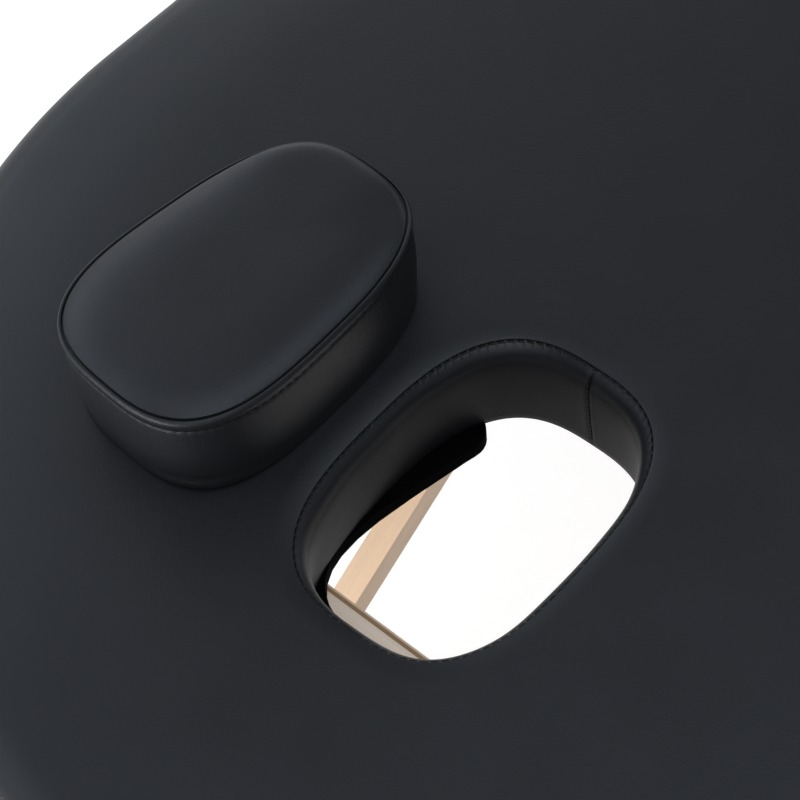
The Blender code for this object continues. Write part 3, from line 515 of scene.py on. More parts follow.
def webbing():
    """Black woven strap: ribs across and yarns along it."""
    tree, shader = start_material("webbing", Roughness=0.75, Sheen_Weight=0.25, Sheen_Roughness=0.5)
    where = place_node(tree)
    waves = []
    for direction, scale in (("X", 105.0), ("Z", 165.0)):
        inputs = {"Vector": where, "Scale": scale, "Distortion": 0.4}
        waves.append(add_node(tree, "TexWave", inputs, bands_direction=direction).outputs["Fac"])
    weave = reckon(tree, "MULTIPLY", *waves)
    set_inputs(tree, shader, Base_Color=ramp(tree, weave, 0.0, 0.8, *WEB_TONES))
    bump(tree, shader, weave, distance=0.0004, strength=0.7)


def thread():
    """Black waxed thread with a twist."""
    tree, shader = start_material("thread", Roughness=0.55, Specular_IOR_Level=0.15)
    twist = noise(tree, place_node(tree), 2600.0, detail=2.0, rough=0.5)
    set_inputs(tree, shader, Base_Color=ramp(tree, twist, 0.3, 0.7, *THREAD_TONES))
    bump(tree, shader, twist, distance=0.00008, strength=0.6)


leatherette("leatherette", shine=0.25)
leatherette("lining_leatherette", shine=0.30, shine_upright=0.03)
plywood()
steel()
webbing()
thread()
dull_black("rubber", (0.020, 0.020, 0.021), roughness=0.78, grain_scale=900.0, grain_depth=0.00012)
dull_black("black_plastic", (0.008, 0.008, 0.009), roughness=0.50, grain_scale=1500.0, grain_depth=0.00006)
# The ledge's finish: black paint made darker and duller than paint, as painted shade deep in the hole
dull_black("black_paint_and_shade", (0.0014, 0.0014, 0.0016), roughness=0.72, grain_scale=1100.0, grain_depth=0.00005,
           shine=0.005)
beech("beech_along")
beech("beech_across", turn=(0.0, 0.0, QUARTER))
# Beech with painted light and shade, for the top crossbars
beech("beech_painted_light_shade", turn=(0.0, 0.0, QUARTER), painted_light_shade=True)
beech("beech_upright", turn=(0.0, QUARTER, 0.0))
beech("beech_head_strut", turn=(0.0, -STRUT_SLOPE, 0.0))
beech("beech_foot_strut", turn=(0.0, STRUT_SLOPE, 0.0))
beech("beech_head_arc", arc_centre=END_X)
beech("beech_foot_arc", arc_centre=-END_X)


# Mesh helpers

def add_object(name, data):
    """Put data into the scene as an object."""
    made = bpy.data.objects.new(name, data)
    bpy.context.scene.collection.objects.link(made)
    return made


def make_object(name, mesh, finish, body, smooth_deg=SOFT_DEG):
    """Wrap a mesh as a piece that rides on a body and has a slot for its finish."""
    mesh.materials.append(FINISHES[finish])
    mesh.shade_smooth()
    mesh.set_sharp_from_angle(angle=math.radians(smooth_deg))
    piece = add_object(name, mesh)
    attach(piece, body)
    return piece


def mesh_from_rings(name, rings, ends):
    """Join rings into one closed mesh, its ends joined to each other or closed by a fan each."""
    count = len(rings[0])
    around = np.arange(count)
    after = (around + 1) % count
    points = np.concatenate(rings).tolist()
    faces = []
    for ring in range(len(rings) if ends == "joined" else len(rings) - 1):
        here = ring * count
        there = (ring + 1) % len(rings) * count
        faces += np.column_stack([here + around, here + after, there + after, there + around]).tolist()
    if ends == "fans":
        for ring in (0, len(rings) - 1):
            hub = np.full(count, len(points))
            faces += np.column_stack([ring * count + around, ring * count + after, hub]).tolist()
            points.append(rings[ring].mean(axis=0).tolist())
    mesh = bpy.data.meshes.new(name)
    mesh.from_pydata(points, [], faces)
    bm = bmesh.new()
    bm.from_mesh(mesh)
    bmesh.ops.recalc_face_normals(bm, faces=bm.faces[:])
    bm.to_mesh(mesh)
    bm.free()
    return mesh


def ring_at(x, y, z):
    """One ring of points."""
    return np.column_stack([x, y, np.broadcast_to(z, np.shape(x))])


def capsule(bm, centre, along, length, radius, sides=6, tip=0.45):
    """Add one stitch: a short bar whose ends narrow to a share of its radius."""
    along = Vector(along).normalized()
    side = along.orthogonal().normalized()
    other = along.cross(side)
    half = length / 2
    rows = []
    for reach, share in ((-half, tip), (-half + radius, 1.0), (half - radius, 1.0), (half, tip)):
        row = []
        for step in range(sides):
            angle = 2 * math.pi * step / sides
            offset = (side * math.cos(angle) + other * math.sin(angle)) * radius * share
            row.append(bm.verts.new(Vector(centre) + along * reach + offset))
        rows.append(row)
    for lower, upper in zip(rows, rows[1:]):
        for step in range(sides):
            after = (step + 1) % sides
            bm.faces.new((lower[step], lower[after], upper[after], upper[step]))
    bm.faces.new(rows[0][::-1])
    bm.faces.new(rows[-1])


def stitch_piece(name, places, size, body, finish="thread"):
    """Make a row of stitches or staples of a (length, radius) size from (centre, direction) pairs."""
    bm = bmesh.new()
    for centre, along in places:
        capsule(bm, centre, along, *size)
    mesh = bpy.data.meshes.new(name)
    bm.to_mesh(mesh)
    bm.free()
    make_object(name, mesh, finish, body)


# Padded halves of the top

def edge_depth(x, y):
    """Distance of plan points of a half from its edge, positive inside. X runs away from the fold."""
    end = END_RADIUS - np.hypot(x - END_X, y)
    straight = np.minimum(x - FOLD_X, END_RADIUS - np.abs(y))
    corner_x = FOLD_X + FOLD_CORNER - x
    corner_y = np.abs(y) - END_RADIUS + FOLD_CORNER
    corner = FOLD_CORNER - np.hypot(corner_x, corner_y)
    side = np.where((corner_x > 0) & (corner_y > 0), corner, straight)
    return np.where(x > END_X, end, side)


def spoke_reach(centre_x, angles, depth, longest=2.0, halvings=40):
    """Length of each spoke from a centre to where it lies at a depth inside the edge."""
    low = np.zeros_like(angles)
    high = np.full_like(angles, longest)
    for _ in range(halvings):
        middle = (low + high) / 2
        inside = edge_depth(centre_x + middle * np.cos(angles), middle * np.sin(angles)) > depth
        low = np.where(inside, middle, low)
        high = np.where(inside, high, middle)
    return low


def spoke_angles(centre_x):
    """Angles of the spokes, closer together where the edge is long or turns sharply."""
    fine = np.linspace(0, 2 * math.pi, FINE_SPOKES, endpoint=False)
    reach = spoke_reach(centre_x, fine, 0.0)
    step_x = np.diff(reach * np.cos(fine), append=reach[0])
    step_y = np.diff(reach * np.sin(fine), append=0.0)
    step = np.hypot(step_x, step_y)
    heading = np.unwrap(np.arctan2(step_y, step_x))
    turn = np.abs(np.diff(heading, append=heading[0] + 2 * math.pi))
    by_length, by_turn, by_angle = SPOKE_SHARES
    density = by_length * step / step.sum() + by_turn * turn / turn.sum() + by_angle / FINE_SPOKES
    return np.interp(np.arange(SPOKES) / SPOKES, np.cumsum(density), fine)


def hole_reach(angles, grow):
    """Length of each spoke from the hole's centre to its outline, grown outwards."""
    across = np.abs(np.cos(angles) / (HOLE_LENGTH / 2 + grow)) ** HOLE_POWER
    along = np.abs(np.sin(angles) / (HOLE_WIDTH / 2 + grow)) ** HOLE_POWER
    return (across + along) ** (-1 / HOLE_POWER)


def top_wave(x, y):
    """Slow unevenness of foam under the skin."""
    wave = sum(weight * np.sin(by_x * x + by_y * y + phase) for by_x, by_y, phase, weight in TOP_WAVES)
    return TOP_WAVE * wave / sum(weight for *_, weight in TOP_WAVES)


def edge_profile(turned, length_along):
    """Rows of (depth, height) from the turned-under hem, up the side and over the roll to the flat top."""
    bottom = DECK_LOW_Z + np.where(turned > 0.5, -GAP / 2 - WRAP_SKIN * turned, GAP)
    hem = DECK_INSET - HEM_BACK + (WRAP_INSET - DECK_INSET) * turned
    pleat = PLEAT_DEPTH * turned * np.sin(2 * math.pi * length_along / PLEAT_PITCH) ** 2
    roll_z = TOP_Z - CROWN - EDGE_ROLL
    rows = [(hem, bottom), ((hem + SIDE_DRAW) / 2 + HEM_MIDDLE, bottom),
            (SIDE_DRAW + HEM_FOLD + pleat, bottom), (SIDE_DRAW + HEM_ROUND + pleat, bottom + HEM_ROUND)]
    for share in np.linspace(SIDE_START, 1.0, SIDE_ROWS):
        draw = SIDE_DRAW * (1 - share) + SIDE_SWELL * math.sin(math.pi * share)
        rows.append((draw + pleat * (1 - share) ** 2, bottom + (roll_z - bottom) * share))
    slope = math.atan2(2 * CROWN, CROWN_RUN - EDGE_ROLL)
    for step in range(1, ROLL_ROWS + 1):
        angle = (math.pi / 2 - slope) * step / ROLL_ROWS
        rows.append((EDGE_ROLL * (1 - math.cos(angle)), roll_z + EDGE_ROLL * math.sin(angle)))
    roll_depth, roll_top = rows[-1]
    for step in range(1, CROWN_ROWS + 1):
        share = step / CROWN_ROWS
        rise = (TOP_Z - roll_top) * (1 - (1 - share) ** 2)
        rows.append((roll_depth + (CROWN_RUN - roll_depth) * share, roll_top + rise))
    return rows


def rim_profile():
    """Rows of (growth, height) from the flat top down over the lip and into the seam round the hole."""
    rows = []
    for step in range(RIM_ROWS + 1):
        grow = RIM_RUN + (LIP_START - RIM_RUN) * step / RIM_ROWS
        rows.append((grow, TOP_Z - RIM_DROP * (1 - grow / RIM_RUN) ** 2))
    slope = math.atan(2 * RIM_DROP / RIM_RUN * (1 - LIP_START / RIM_RUN))
    centre_grow = LIP_START + LIP_RADIUS * math.sin(slope)
    centre_z = rows[-1][1] - LIP_RADIUS * math.cos(slope)
    for step in range(1, LIP_ROWS + 1):
        angle = slope + (LIP_TURN - slope) * step / LIP_ROWS
        rows.append((centre_grow - LIP_RADIUS * math.sin(angle), centre_z + LIP_RADIUS * math.cos(angle)))
    rows += [(grow, TOP_Z - drop) for grow, drop in RIM_TUCK]
    return rows


def make_pad(name, end, body, has_hole):
    """Foam and leatherette of one half as one closed cushion, its skin turned under the deck's edge."""
    centre_x = HOLE_X if has_hole else FOOT_SPOKE_X
    angles = spoke_angles(centre_x)
    cosine = np.cos(angles)
    sine = np.sin(angles)

    def on_spokes(reach, z):
        return ring_at(end * (centre_x + reach * cosine), reach * sine, z)

    def on_foam(reach, z, fade=1.0):
        return on_spokes(reach, z + fade * top_wave(centre_x + reach * cosine, reach * sine))

    edge = spoke_reach(centre_x, angles, 0.0)
    edge_x = centre_x + edge * cosine
    edge_y = edge * sine
    steps = np.hypot(np.diff(edge_x, append=edge_x[0]), np.diff(edge_y, append=edge_y[0]))
    length_along = np.cumsum(steps)
    turned = np.clip((edge_x - FOLD_X - WRAP_START) / WRAP_RUN, 0, 1)
    rings = []
    for depth, z in edge_profile(turned, length_along):
        fade = np.clip(np.asarray(depth) / CROWN_RUN, 0, 1) ** 2
        rings.append(on_foam(spoke_reach(centre_x, angles, depth), z, fade))
    outer = spoke_reach(centre_x, angles, CROWN_RUN)
    inner = hole_reach(angles, RIM_RUN) if has_hole else np.full_like(angles, FOOT_HUB)
    for share in np.linspace(0, 1, FLAT_ROWS)[1:-1]:
        rings.append(on_foam(outer + (inner - outer) * share, TOP_Z))
    if has_hole:
        for grow, z in rim_profile():
            rings.append(on_foam(hole_reach(angles, grow), z, (grow / RIM_RUN) ** 2))
        inner = hole_reach(angles, SKIN + 2 * GAP)
    else:
        rings.append(on_spokes(inner, TOP_Z + top_wave(centre_x, 0.0)))
    floor_z = DECK_TOP_Z + GAP
    under_z = DECK_LOW_Z + np.where(turned > 0.5, -GAP / 2, 2 * GAP)
    deck_edge = spoke_reach(centre_x, angles, DECK_INSET)
    hem = spoke_reach(centre_x, angles, DECK_INSET + (WRAP_INSET - DECK_INSET) * turned)
    base = [on_spokes(inner, floor_z), on_spokes(deck_edge, floor_z), on_spokes(deck_edge, under_z),
            on_spokes(hem, under_z)]
    mesh = mesh_from_rings(name, base + rings, "joined" if has_hole else "fans")
    pad = make_object(name, mesh, "leatherette", body)


# Face hole: lining and stitches

def oval(shape, angles, grow=0.0):
    """Points of a superellipse of (length, width, power, egg), grown outwards. An egg is wider towards +X."""
    length, width, power, egg = shape
    across = np.cos(angles)
    along = np.sin(angles)
    x = np.sign(across) * np.abs(across) ** (2 / power)
    y = np.sign(along) * np.abs(along) ** (2 / power)
    return x * (length / 2 + grow), y * (1 + egg * x) * (width / 2 + grow)


def even_angles(shape, count):
    """Angles of points spaced evenly round a superellipse from its foot side, and its girth."""
    fine = math.pi + np.linspace(0, 2 * math.pi, OVAL_STEPS)
    x, y = oval(shape, fine)
    walked = np.concatenate([[0.0], np.cumsum(np.hypot(np.diff(x), np.diff(y)))])
    return np.interp(np.arange(count) / count * walked[-1], walked, fine), walked[-1]


def humps(distance, rows):
    """Sum of bell curves of a distance, in rows of (height, middle, width)."""
    return sum(height * np.exp(-((distance - middle) / width) ** 2) for height, middle, width in rows)


def lining_growth(drop):
    """Growth of the lining at a drop below its top: in over the padded shoulder, then out to the deck."""
    shoulder = LINING_SHOULDER * (1 - math.exp(-drop / LINING_SHOULDER_RUN))
    return LINING_TOP_GROW - shoulder + LINING_LEAN * (drop / LINING_DEPTH) ** LINING_LEAN_POWER


def make_lining():
    """Padded leatherette wall of the face hole, with an upright seam at the foot side."""
    angles, girth = even_angles(HOLE_SHAPE, LINING_POINTS)
    walked = np.arange(LINING_POINTS) / LINING_POINTS * girth
    around = 2 * math.pi * walked / girth
    aside = np.minimum(walked, girth - walked)
    stitches = round(girth / STITCH_PITCH)
    ridge = RIDGE * (0.5 + 0.5 * np.cos(stitches * around)) ** RIDGE_POWER
    valley = humps(aside, VALLEY)
    pinch = humps(aside, PINCH)
    slack = sum(depth * np.sin(waves * around + phase) for depth, waves, phase in SLACK_WAVES)
    rows = [(lining_growth(LINING_DEPTH) + LINING_HEM, LINING_TOP_Z - LINING_DEPTH)]
    for share in np.linspace(0, 1, LINING_ROWS):
        drop = (LINING_DEPTH - LINING_EDGE) * (1 - share) ** 2
        near_top = math.exp(-drop / PINCH_RUN)
        dent = valley * min(1.0, VALLEY_FADE * share) * (1 - near_top) + slack * math.sin(math.pi * share)
        rise = ridge * math.exp(-drop / RIDGE_RUN) - pinch * near_top
        rows.append((lining_growth(drop) + dent, LINING_TOP_Z - drop + rise))
    back = ((LINING_TOP_GROW + LINING_EDGE_GROW, LINING_EDGE), (SKIN, LINING_BACK), (SKIN, LINING_DEPTH))
    for grow, drop in back:
        rows.append((grow, LINING_TOP_Z - drop - pinch * math.exp(-drop / PINCH_RUN)))
    rings = []
    for grow, z in rows:
        x, y = oval(HOLE_SHAPE, angles, grow)
        rings.append(ring_at(HOLE_X + x, y, z))
    mesh = mesh_from_rings("hole_lining", rings, "joined")
    lining = make_object("hole_lining", mesh, "lining_leatherette", "head_section")
    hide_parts("face_hole_lining")
    make_rim_stitches(stitches)
    make_seam_stitches()


def path_places(points):
    """Pairs of (middle, direction) along a closed row of points."""
    ahead = np.roll(points, -1, axis=0) - np.roll(points, 1, axis=0)
    return list(zip(points, ahead))


def make_rim_stitches(stitches):
    """Stitches that join the lining to the top, in the seam round the hole."""
    angles, _ = even_angles(HOLE_SHAPE, stitches)
    x, y = oval(HOLE_SHAPE, angles + math.pi / stitches, RIM_STITCH_GROW)
    points = ring_at(HOLE_X + x, y, TOP_Z - RIM_STITCH_DROP)
    stitch_piece("rim_stitches", path_places(points), RIM_STITCH, "head_section")


def make_seam_stitches(near=0.001):
    """Stitches down the upright seam of the lining, along its slope."""
    places = []
    for drop in np.arange(SEAM_START, LINING_DEPTH - SEAM_END, SEAM_PITCH):
        x = HOLE_X - HOLE_LENGTH / 2 - lining_growth(drop) - SEAM_STITCH_SINK
        ahead = (lining_growth(drop + near) - lining_growth(drop - near)) / (2 * near)
        places.append(((x, 0.0, LINING_TOP_Z - drop), (ahead, 0.0, 1.0)))
    stitch_piece("lining_seam_stitches", places, SEAM_STITCH, "head_section")


# Plug cushion

def plug_profile(far):
    """Rows of (growth, height, pucker) from the base up the side, over the welt and up the crown.

    Far has a share for each point round the plug: how much the crown bulges there.
    """
    floor = PLUG_BASE + GAP
    inside = -PLUG_TAPER - PLUG_SKIN
    rows = [(inside - PLUG_RIM, floor, 0.0), (inside, floor, 0.0)]
    rows += [(grow - PLUG_TAPER, height, 0.0) for grow, height in PLUG_FOOT_ROWS]
    for share in np.linspace(0, 1, PLUG_SIDE_ROWS):
        height = PLUG_SIDE_LOW + (PLUG_TOPSTITCH - PLUG_SIDE_END - PLUG_SIDE_LOW) * share
        lean = PLUG_LEAN * share - PLUG_FOOT_LEAN * (1 - share) ** 2
        rows.append((lean + PLUG_SWELL * math.sin(math.pi * share), height, 0.25 * share ** 8))
    rows += [(grow, PLUG_TOPSTITCH + above, pucker) for grow, above, pucker in PLUG_SEWN_ROWS]
    rows += [(grow, PLUG_SEAM + above, pucker) for grow, above, pucker in PLUG_SEAM_ROWS]
    whole = 1 - math.exp(-PLUG_CROWN_RUN / PLUG_CROWN_FADE)
    for step in range(PLUG_CROWN_ROWS + 1):
        run = PLUG_CROWN_RUN * (step / PLUG_CROWN_ROWS) ** 1.6
        rise = PLUG_CROWN * (1 - math.exp(-run / PLUG_CROWN_FADE)) / whole
        fall = math.exp(-run / PLUG_CROWN_RUN * PLUG_BULGE_FADE)
        bulge = PLUG_BULGE * (fall - math.exp(-run / PLUG_BULGE_RUN))
        rows.append((PLUG_CROWN_START - run, PLUG_SEAM + rise + bulge * far, 0.0))
    flat = PLUG_CROWN_START - PLUG_CROWN_RUN
    left = PLUG_WIDTH / 2 + flat
    bulge = PLUG_BULGE * math.exp(-PLUG_BULGE_FADE) * far
    for share in (0.25, 0.5, 0.75, 0.95):
        rows.append((flat - left * share, PLUG_SEAM + PLUG_CROWN + bulge * (1 - share), 0.0))
    return rows


def plug_place(angles, grow, height):
    """Points round the plug, where it lies on the top."""
    x, y = oval(PLUG_SHAPE, angles, grow)
    turned_x = x * math.cos(PLUG_TURN) - y * math.sin(PLUG_TURN)
    turned_y = x * math.sin(PLUG_TURN) + y * math.cos(PLUG_TURN)
    return ring_at(HOLE_X + PLUG_FORWARD + turned_x, PLUG_ASIDE + turned_y, PLUG_LOW_Z + height)


def share_near(angles, side, width, power):
    """One at a side, and less the farther an angle is from it."""
    away = (angles - side + math.pi) % (2 * math.pi) - math.pi
    return np.exp(-(away / width) ** power)


def make_plug():
    """Plug cushion: crowned panel, sewn groove, welt, topstitch, tapered side and a roll at its foot."""
    angles, girth = even_angles(PLUG_SHAPE, PLUG_POINTS)
    walked = np.arange(PLUG_POINTS) / PLUG_POINTS * girth
    stitches = round(girth / STITCH_PITCH)
    uneven = 1 + 0.4 * np.sin(0.9 * np.arange(PLUG_POINTS))
    pulled = np.cos(2 * math.pi * stitches * walked / girth) * uneven
    near = share_near(angles, PLUG_ROLL_SIDE, PLUG_ROLL_SPREAD, 2)
    far = share_near(angles, PLUG_BULGE_SIDE, PLUG_BULGE_SPREAD, 4)
    rings = []
    for grow, height, pucker in plug_profile(far):
        roll = humps(height, PLUG_ROLL)
        if np.max(height) < PLUG_BASE + 2 * GAP and grow < -PLUG_TAPER:
            roll = 0.0
        rings.append(plug_place(angles, grow + PLUG_PUCKER * pucker * pulled + roll * near, height))
    mesh = mesh_from_rings("plug_cushion", rings, "fans")
    plug = make_object("plug_cushion", mesh, "leatherette", "plug")
    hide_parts("plug_cover", "plug_foam")
    spaced, _ = even_angles(PLUG_SHAPE, stitches)
    points = plug_place(spaced + math.pi / stitches, PLUG_STITCH_GROW, PLUG_TOPSTITCH)
    stitch_piece("plug_topstitch", path_places(points), PLUG_STITCH, "plug")


# Carry handles

def make_handle(name, body):
    """Webbing strap along the carry handle's path, with rolled selvedges and stitched, screwed ends."""
    low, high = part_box(name)
    middle_x = (low.x + high.x) / 2
    middle_z = (low.z + high.z) / 2
    face_y = low.y + HANDLE_THICKNESS
    half = (high.x - low.x) / 2
    bend = half - HANDLE_FLAT
    path = []
    for x in np.linspace(-half, half, HANDLE_POINTS):
        lift = (high.y - face_y) * (1 + math.cos(math.pi * x / bend)) / 2 if abs(x) < bend else 0.0
        path.append((middle_x + x, low.y + HANDLE_THICKNESS / 2 + lift))
    path = np.array(path)
    ahead = np.gradient(path, axis=0)
    ahead /= np.linalg.norm(ahead, axis=1)[:, None]
    section = strap_section((high.z - low.z) / 2, HANDLE_THICKNESS / 2 - HANDLE_SLIM)
    rings = []
    for (x, y), (ahead_x, ahead_y) in zip(path, ahead):
        ring = [(x - ahead_y * thick, y + ahead_x * thick, middle_z + height) for height, thick in section]
        rings.append(np.array(ring))
    mesh = mesh_from_rings(f"{name}_strap", rings, "fans")
    strap = make_object(f"{name}_strap", mesh, "webbing", body)
    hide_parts(name)
    places = []
    for side in (-1, 1):
        for x in (half - HANDLE_STITCH_INSET, bend + HANDLE_STITCH_INSET):
            for z in np.linspace(-HANDLE_STITCH_REACH, HANDLE_STITCH_REACH, HANDLE_STITCHES):
                places.append(((middle_x + side * x, face_y, middle_z + z), (0.0, 0.0, 1.0)))
        screw_x = middle_x + side * (half - HANDLE_FLAT / 2)
        turned_piece(f"{name}_washer_{side + 1}", (screw_x, face_y, middle_z), "Y", HANDLE_WASHER, body)
        place = (screw_x, face_y + HANDLE_WASHER[-1][0], middle_z)
        screw_head(f"{name}_screw_{side + 1}", place, "Y", HANDLE_SCREW, body)
    stitch_piece(f"{name}_stitches", places, HANDLE_STITCH, body)


def strap_section(half_height, half_thickness, flat_points=14, round_points=9):
    """Outline of a strap's cross-section as (height, thickness) pairs, with round selvedges."""
    flat = half_height - half_thickness
    one_side = [(height, half_thickness) for height in np.linspace(-flat, flat, flat_points)]
    one_side += [(flat + half_thickness * math.sin(angle), half_thickness * math.cos(angle))
                 for angle in np.linspace(0, math.pi, round_points)[1:-1]]
    return one_side + [(-height, -thick) for height, thick in one_side]


# Turned pieces: knobs, bolts, screws and caps

def turned_piece(name, centre, axis, profile, body, sides=32, lobes=None, finish="steel"):
    """Turn a profile of (reach, radius) rows about an axis. Lobes are (rows, count, depth) for a wavy rim."""
    angles = np.linspace(0, 2 * math.pi, sides, endpoint=False)
    rings = []
    for row, (reach, radius) in enumerate(profile):
        around = radius
        if lobes and row in lobes[0]:
            around = radius + lobes[2] * (np.cos(lobes[1] * angles) - 1)
        first = around * np.cos(angles)
        second = around * np.sin(angles)
        along = np.full(sides, reach)
        places = {"Y": (first, along, second), "-Y": (first, -along, second), "-Z": (first, second, -along)}
        rings.append(np.column_stack(places[axis]) + np.array(centre))
    return make_object(name, mesh_from_rings(name, rings, "fans"), finish, body, TURNED_DEG)


def screw_head(name, centre, axis, radius, body):
    """Domed screw head with a cross recess."""
    rise = SCREW_RISE * radius
    profile = [(-SCREW_SINK, radius), (0.0, radius)]
    for step in range(1, SCREW_ROWS):
        angle = math.pi / 2 * step / SCREW_ROWS
        profile.append((rise * math.sin(angle), radius * (1 - SCREW_DOME + SCREW_DOME * math.cos(angle))))
    recess = (len(profile), len(profile) + 1)
    profile += [(height * rise, share * radius) for height, share in SCREW_RECESS]
    turned_piece(name, centre, axis, profile, body, lobes=(recess, SCREW_LOBES, SCREW_LOBE_DEPTH * radius))


def make_knob(name, body):
    """Clamping knob: lobed plastic grip with a domed face, a bolt through the leg and a washer behind."""
    low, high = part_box(name)
    x = (low.x + high.x) / 2
    z = (low.z + high.z) / 2
    side = 1 if high.y > 0 else -1
    axis = "Y" if side > 0 else "-Y"
    inner, outer = sorted((side * low.y, side * high.y))
    face = outer - KNOB_LENGTH
    radius = (high.x - low.x) / 2
    grip = [(reach, share * radius) for reach, share in GRIP_SHARES]
    lobes = (KNOB_LOBE_ROWS, KNOB_LOBES, KNOB_LOBE_DEPTH)
    head = turned_piece(f"{name}_grip", (x, side * face, z), axis, grip, body, 60, lobes, "black_plastic")
    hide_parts(name)
    washer = [(inner + reach, wide) for reach, wide in KNOB_WASHER]
    bolt = [(washer[-1][0], KNOB_BOLT), (face + KNOB_BOLT_END, KNOB_BOLT)]
    turned_piece(f"{name}_bolt", (x, 0.0, z), axis, bolt, body, sides=20)
    turned_piece(f"{name}_washer", (x, 0.0, z), axis, washer, body)


def bolt_head(name, centre, axis, radius, body):
    """Low domed bolt head with a socket."""
    profile = [(reach, share * radius) for reach, share in BOLT_SHARES]
    turned_piece(name, centre, axis, profile, body, sides=24)


def make_pivots(prefix, end, word, side):
    """Cap on a leg's pivot, and bolt heads on the pivots of its struts."""
    outwards, inwards = ("Y", "-Y") if side > 0 else ("-Y", "Y")
    radius = STRUT_WIDTH / 2
    low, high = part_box(f"{prefix}_leg_hanger_{word}")
    place = ((low.x + high.x) / 2, max(low.y, high.y, key=abs), LEG_PIVOT_Z)
    turned_piece(f"{prefix}_pivot_cap_{word}", place, outwards, PIVOT_CAP, f"{prefix}_section")
    low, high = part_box(f"{prefix}_upper_strut_{word}")
    y = max(low.y, high.y, key=abs)
    upper_end = (min(low.x, high.x, key=abs) + end * radius, y, high.z - radius)
    elbow = (max(low.x, high.x, key=abs) - end * radius, y, low.z + radius)
    low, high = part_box(f"{prefix}_lower_strut_{word}")
    y = max(low.y, high.y, key=abs) - side * STRUT_TO_LUG_BACK
    lower_end = (max(low.x, high.x, key=abs) - end * radius, y, low.z + radius)
    bolts = (("frame", upper_end, outwards, "upper_struts"), ("elbow", elbow, outwards, "upper_struts"),
             ("leg", lower_end, inwards, "legs"))
    for what, place, axis, body in bolts:
        bolt_head(f"{prefix}_{what}_bolt_{word}", place, axis, STRUT_BOLT, f"{prefix}_{body}")


def make_fasteners():
    """Caps and bolt heads at the leg and strut pivots, hinge screws, and the head of the latch's pivot."""
    for prefix, end in (("head", 1), ("foot", -1)):
        for word, side in (("left", 1), ("right", -1)):
            make_pivots(prefix, end, word, side)
        for index, y in enumerate(np.linspace(-HINGE_SCREW_REACH, HINGE_SCREW_REACH, HINGE_SCREWS)):
            place = (end * HINGE_SCREW_X, y, HINGE_LEAF_Z)
            screw_head(f"{prefix}_hinge_screw_{index + 1}", place, "-Z", HINGE_SCREW, f"{prefix}_section")
    bolt_head("latch_pivot_head", (LATCH_X, LATCH_HIGH.y, LATCH_Z), "Y", LATCH_BOLT, "latch")


def make_staples(prefix, end):
    """Staples that hold the turned-under hem to the deck."""
    reach_y = END_RADIUS - STAPLE_INSET
    places = []
    for x in np.arange(STAPLE_START, END_X, STAPLE_PITCH):
        for side in (-1, 1):
            places.append(((end * x, side * reach_y, STAPLE_Z), (1.0, 0.0, 0.0)))
    for angle in np.radians(np.arange(-STAPLE_ARC_DEG, STAPLE_ARC_DEG, STAPLE_STEP_DEG)):
        place = (end * (END_X + reach_y * math.cos(angle)), reach_y * math.sin(angle), STAPLE_Z)
        turn = end * (angle + math.pi / 2)
        places.append((place, (math.cos(turn), math.sin(turn), 0.0)))
    stitch_piece(f"{prefix}_staples", places, STAPLE, f"{prefix}_section", "steel")


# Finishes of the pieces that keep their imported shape

def finish_nodes(finish, edge, *names):
    """Give nodes a finish, and soften their edges."""
    for name in names:
        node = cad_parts[name]
        node.data.materials.clear()
        node.data.materials.append(FINISHES[finish])
        weld = node.modifiers.new("join_corners", "WELD")
        weld.merge_threshold = CORNER_WELD
        bevel = node.modifiers.new("soft_edges", "BEVEL")
        bevel.width = edge
        bevel.segments = 2
        bevel.limit_method = "ANGLE"
        bevel.angle_limit = math.radians(BEVEL_DEG)
        bevel.harden_normals = True


def finish_frame():
    """Finish the decks, the frame, the legs and struts, and the small pieces."""
    for half in ("head", "foot"):
        finish_nodes("plywood", SOFT_EDGE, f"{half}_deck")
        finish_nodes(f"beech_{half}_arc", WOOD_EDGE, f"{half}_end_apron")
        bars = [f"{half}_{part}" for part in ("centre_rail", "strut_rail", "low_crossbar")]
        finish_nodes("beech_across", WOOD_EDGE, *bars)
        finish_nodes("beech_painted_light_shade", WOOD_EDGE, f"{half}_top_crossbar")
        finish_nodes("steel", HINGE_EDGE, f"{half}_hinge_leaf")
        for hand in ("left", "right"):
            legs = [f"{half}_{part}_{hand}" for part in ("leg", "extension", "leg_hanger")]
            struts = [f"{half}_{part}_strut_{hand}" for part in ("upper", "lower")]
            finish_nodes("beech_along", WOOD_EDGE, f"{half}_side_rail_{hand}")
            finish_nodes("beech_upright", WOOD_EDGE, *legs)
            finish_nodes(f"beech_{half}_strut", WOOD_EDGE, *struts)
            finish_nodes("rubber", SOFT_EDGE, f"{half}_rubber_foot_{hand}")
    finish_nodes("plywood", SMALL_EDGE, "plug_base")
    # Ledge under the lining: black paint with painted shade
    finish_nodes("black_paint_and_shade", LEDGE_EDGE, "plug_ledge")
    finish_nodes("steel", HINGE_EDGE, "hinge_pin")
    finish_nodes("steel", SMALL_EDGE, "latch_hook", "latch_stud")


# Studio

def make_camera():
    """Camera at the photograph's viewpoint."""
    sight = -CAMERA_BACK
    right = sight.cross(Vector((0.0, 0.0, 1.0))).normalized()
    up = right.cross(sight)
    rolled_right = math.cos(CAMERA_ROLL) * right + math.sin(CAMERA_ROLL) * up
    rolled_up = math.cos(CAMERA_ROLL) * up - math.sin(CAMERA_ROLL) * right
    data = bpy.data.cameras.new("camera")
    data.sensor_width = CAMERA_SENSOR_MM
    data.lens = CAMERA_LENS_MM
    camera = add_object("camera", data)
    axes = Matrix((rolled_right, rolled_up, CAMERA_BACK)).transposed()
    camera.matrix_world = Matrix.Translation(CAMERA_PLACE) @ axes.to_4x4()
    bpy.context.scene.camera = camera


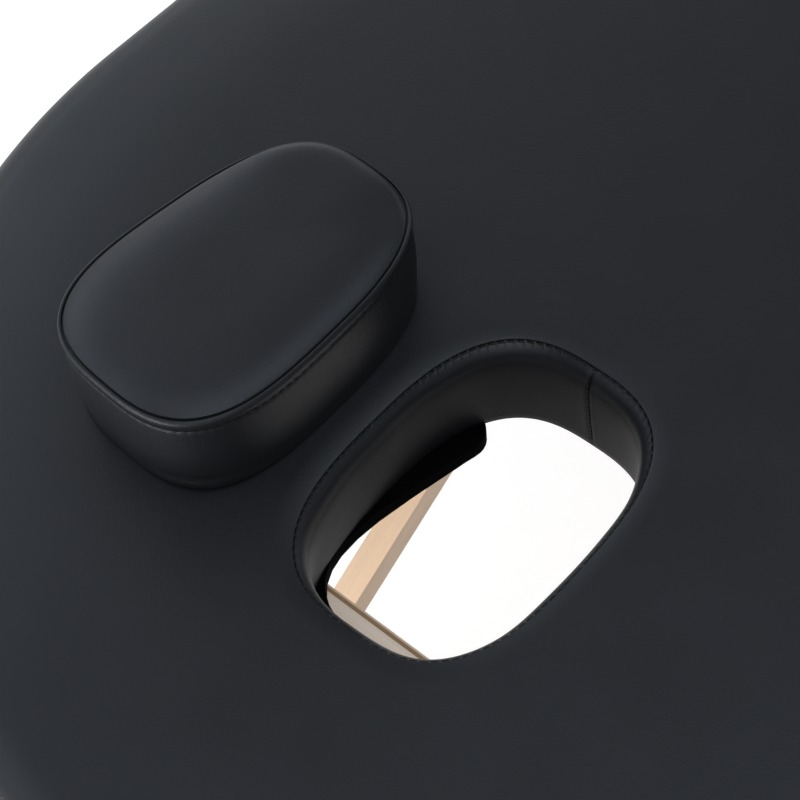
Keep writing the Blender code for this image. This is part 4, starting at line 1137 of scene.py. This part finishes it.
def seen_rays(tree):
    """One for rays that show the background: from the camera, from shiny surfaces and through clear ones."""
    path = add_node(tree, "LightPath")
    seen = reckon(tree, "MAXIMUM", path.outputs["Is Camera Ray"], path.outputs["Is Glossy Ray"])
    return reckon(tree, "MAXIMUM", seen, path.outputs["Is Transmission Ray"])


def make_floor():
    """Wide pale floor that takes the shadow, with a glow where it is seen."""
    mesh = bpy.data.meshes.new("floor")
    far = FLOOR_REACH
    corners = [(-far, -far, 0.0), (far, -far, 0.0), (far, far, 0.0), (-far, far, 0.0)]
    mesh.from_pydata(corners, [], [(0, 1, 2, 3)])
    floor = add_object("floor", mesh)
    tree, shader = start_material("floor", Base_Color=FLOOR_TONE, Roughness=0.9)
    glow = reckon(tree, "MULTIPLY", seen_rays(tree), FLOOR_GLOW)
    set_inputs(tree, shader, Emission_Strength=glow, Emission_Color=(1.0, 1.0, 1.0, 1.0))
    mesh.materials.append(FINISHES["floor"])


def add_panel(name, place, target, size, power, colour):
    """Add a soft light panel that faces a point."""
    data = bpy.data.lights.new(name, "AREA")
    data.shape = "RECTANGLE"
    data.size, data.size_y = size
    data.energy = power
    data.color = colour
    panel = add_object(name, data)
    panel.location = place
    panel.rotation_euler = (Vector(target) - Vector(place)).to_track_quat("-Z", "Y").to_euler()
    panel.visible_camera = False


def make_light():
    """Surround that is pale on the right side and, where seen, near the floor, and the light panels."""
    world = bpy.data.worlds.new("surround")
    bpy.context.scene.world = world
    world.use_nodes = True
    tree = world.node_tree
    where = add_node(tree, "TexCoord").outputs["Generated"]
    facing = add_node(tree, "VectorMath", {"Vector": where}, operation="DOT_PRODUCT")
    facing.inputs[1].default_value = PALE_SIDE
    tone = ramp(tree, facing.outputs["Value"], 0.0, 0.95, *SURROUND_TONES)
    rise = add_node(tree, "SeparateXYZ", {"Vector": where}).outputs["Z"]
    low_band = reckon(tree, "MULTIPLY", spread(tree, rise, 0.10, 0.30, 1.0, 0.0), seen_rays(tree))
    tone = blend_colours(tree, low_band, tone, HORIZON)
    feed(tree, tone, tree.nodes["Background"].inputs["Color"])
    for name, settings in PANELS.items():
        add_panel(name, *settings)


make_pad("head_cushion", 1, "head_section", True)
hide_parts("head_cover", "head_foam")
make_pad("foot_cushion", -1, "foot_section", False)
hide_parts("foot_cover", "foot_foam")
make_lining()
make_plug()
for half, direction in (("head", 1), ("foot", -1)):
    make_handle(f"{half}_carry_handle", f"{half}_section")
    for hand in ("left", "right"):
        make_knob(f"{half}_knob_{hand}", f"{half}_knob_{hand}")
    make_staples(half, direction)
make_fasteners()
finish_frame()
make_camera()
make_floor()
make_light()
bpy.context.scene.view_settings.view_transform = "Standard"
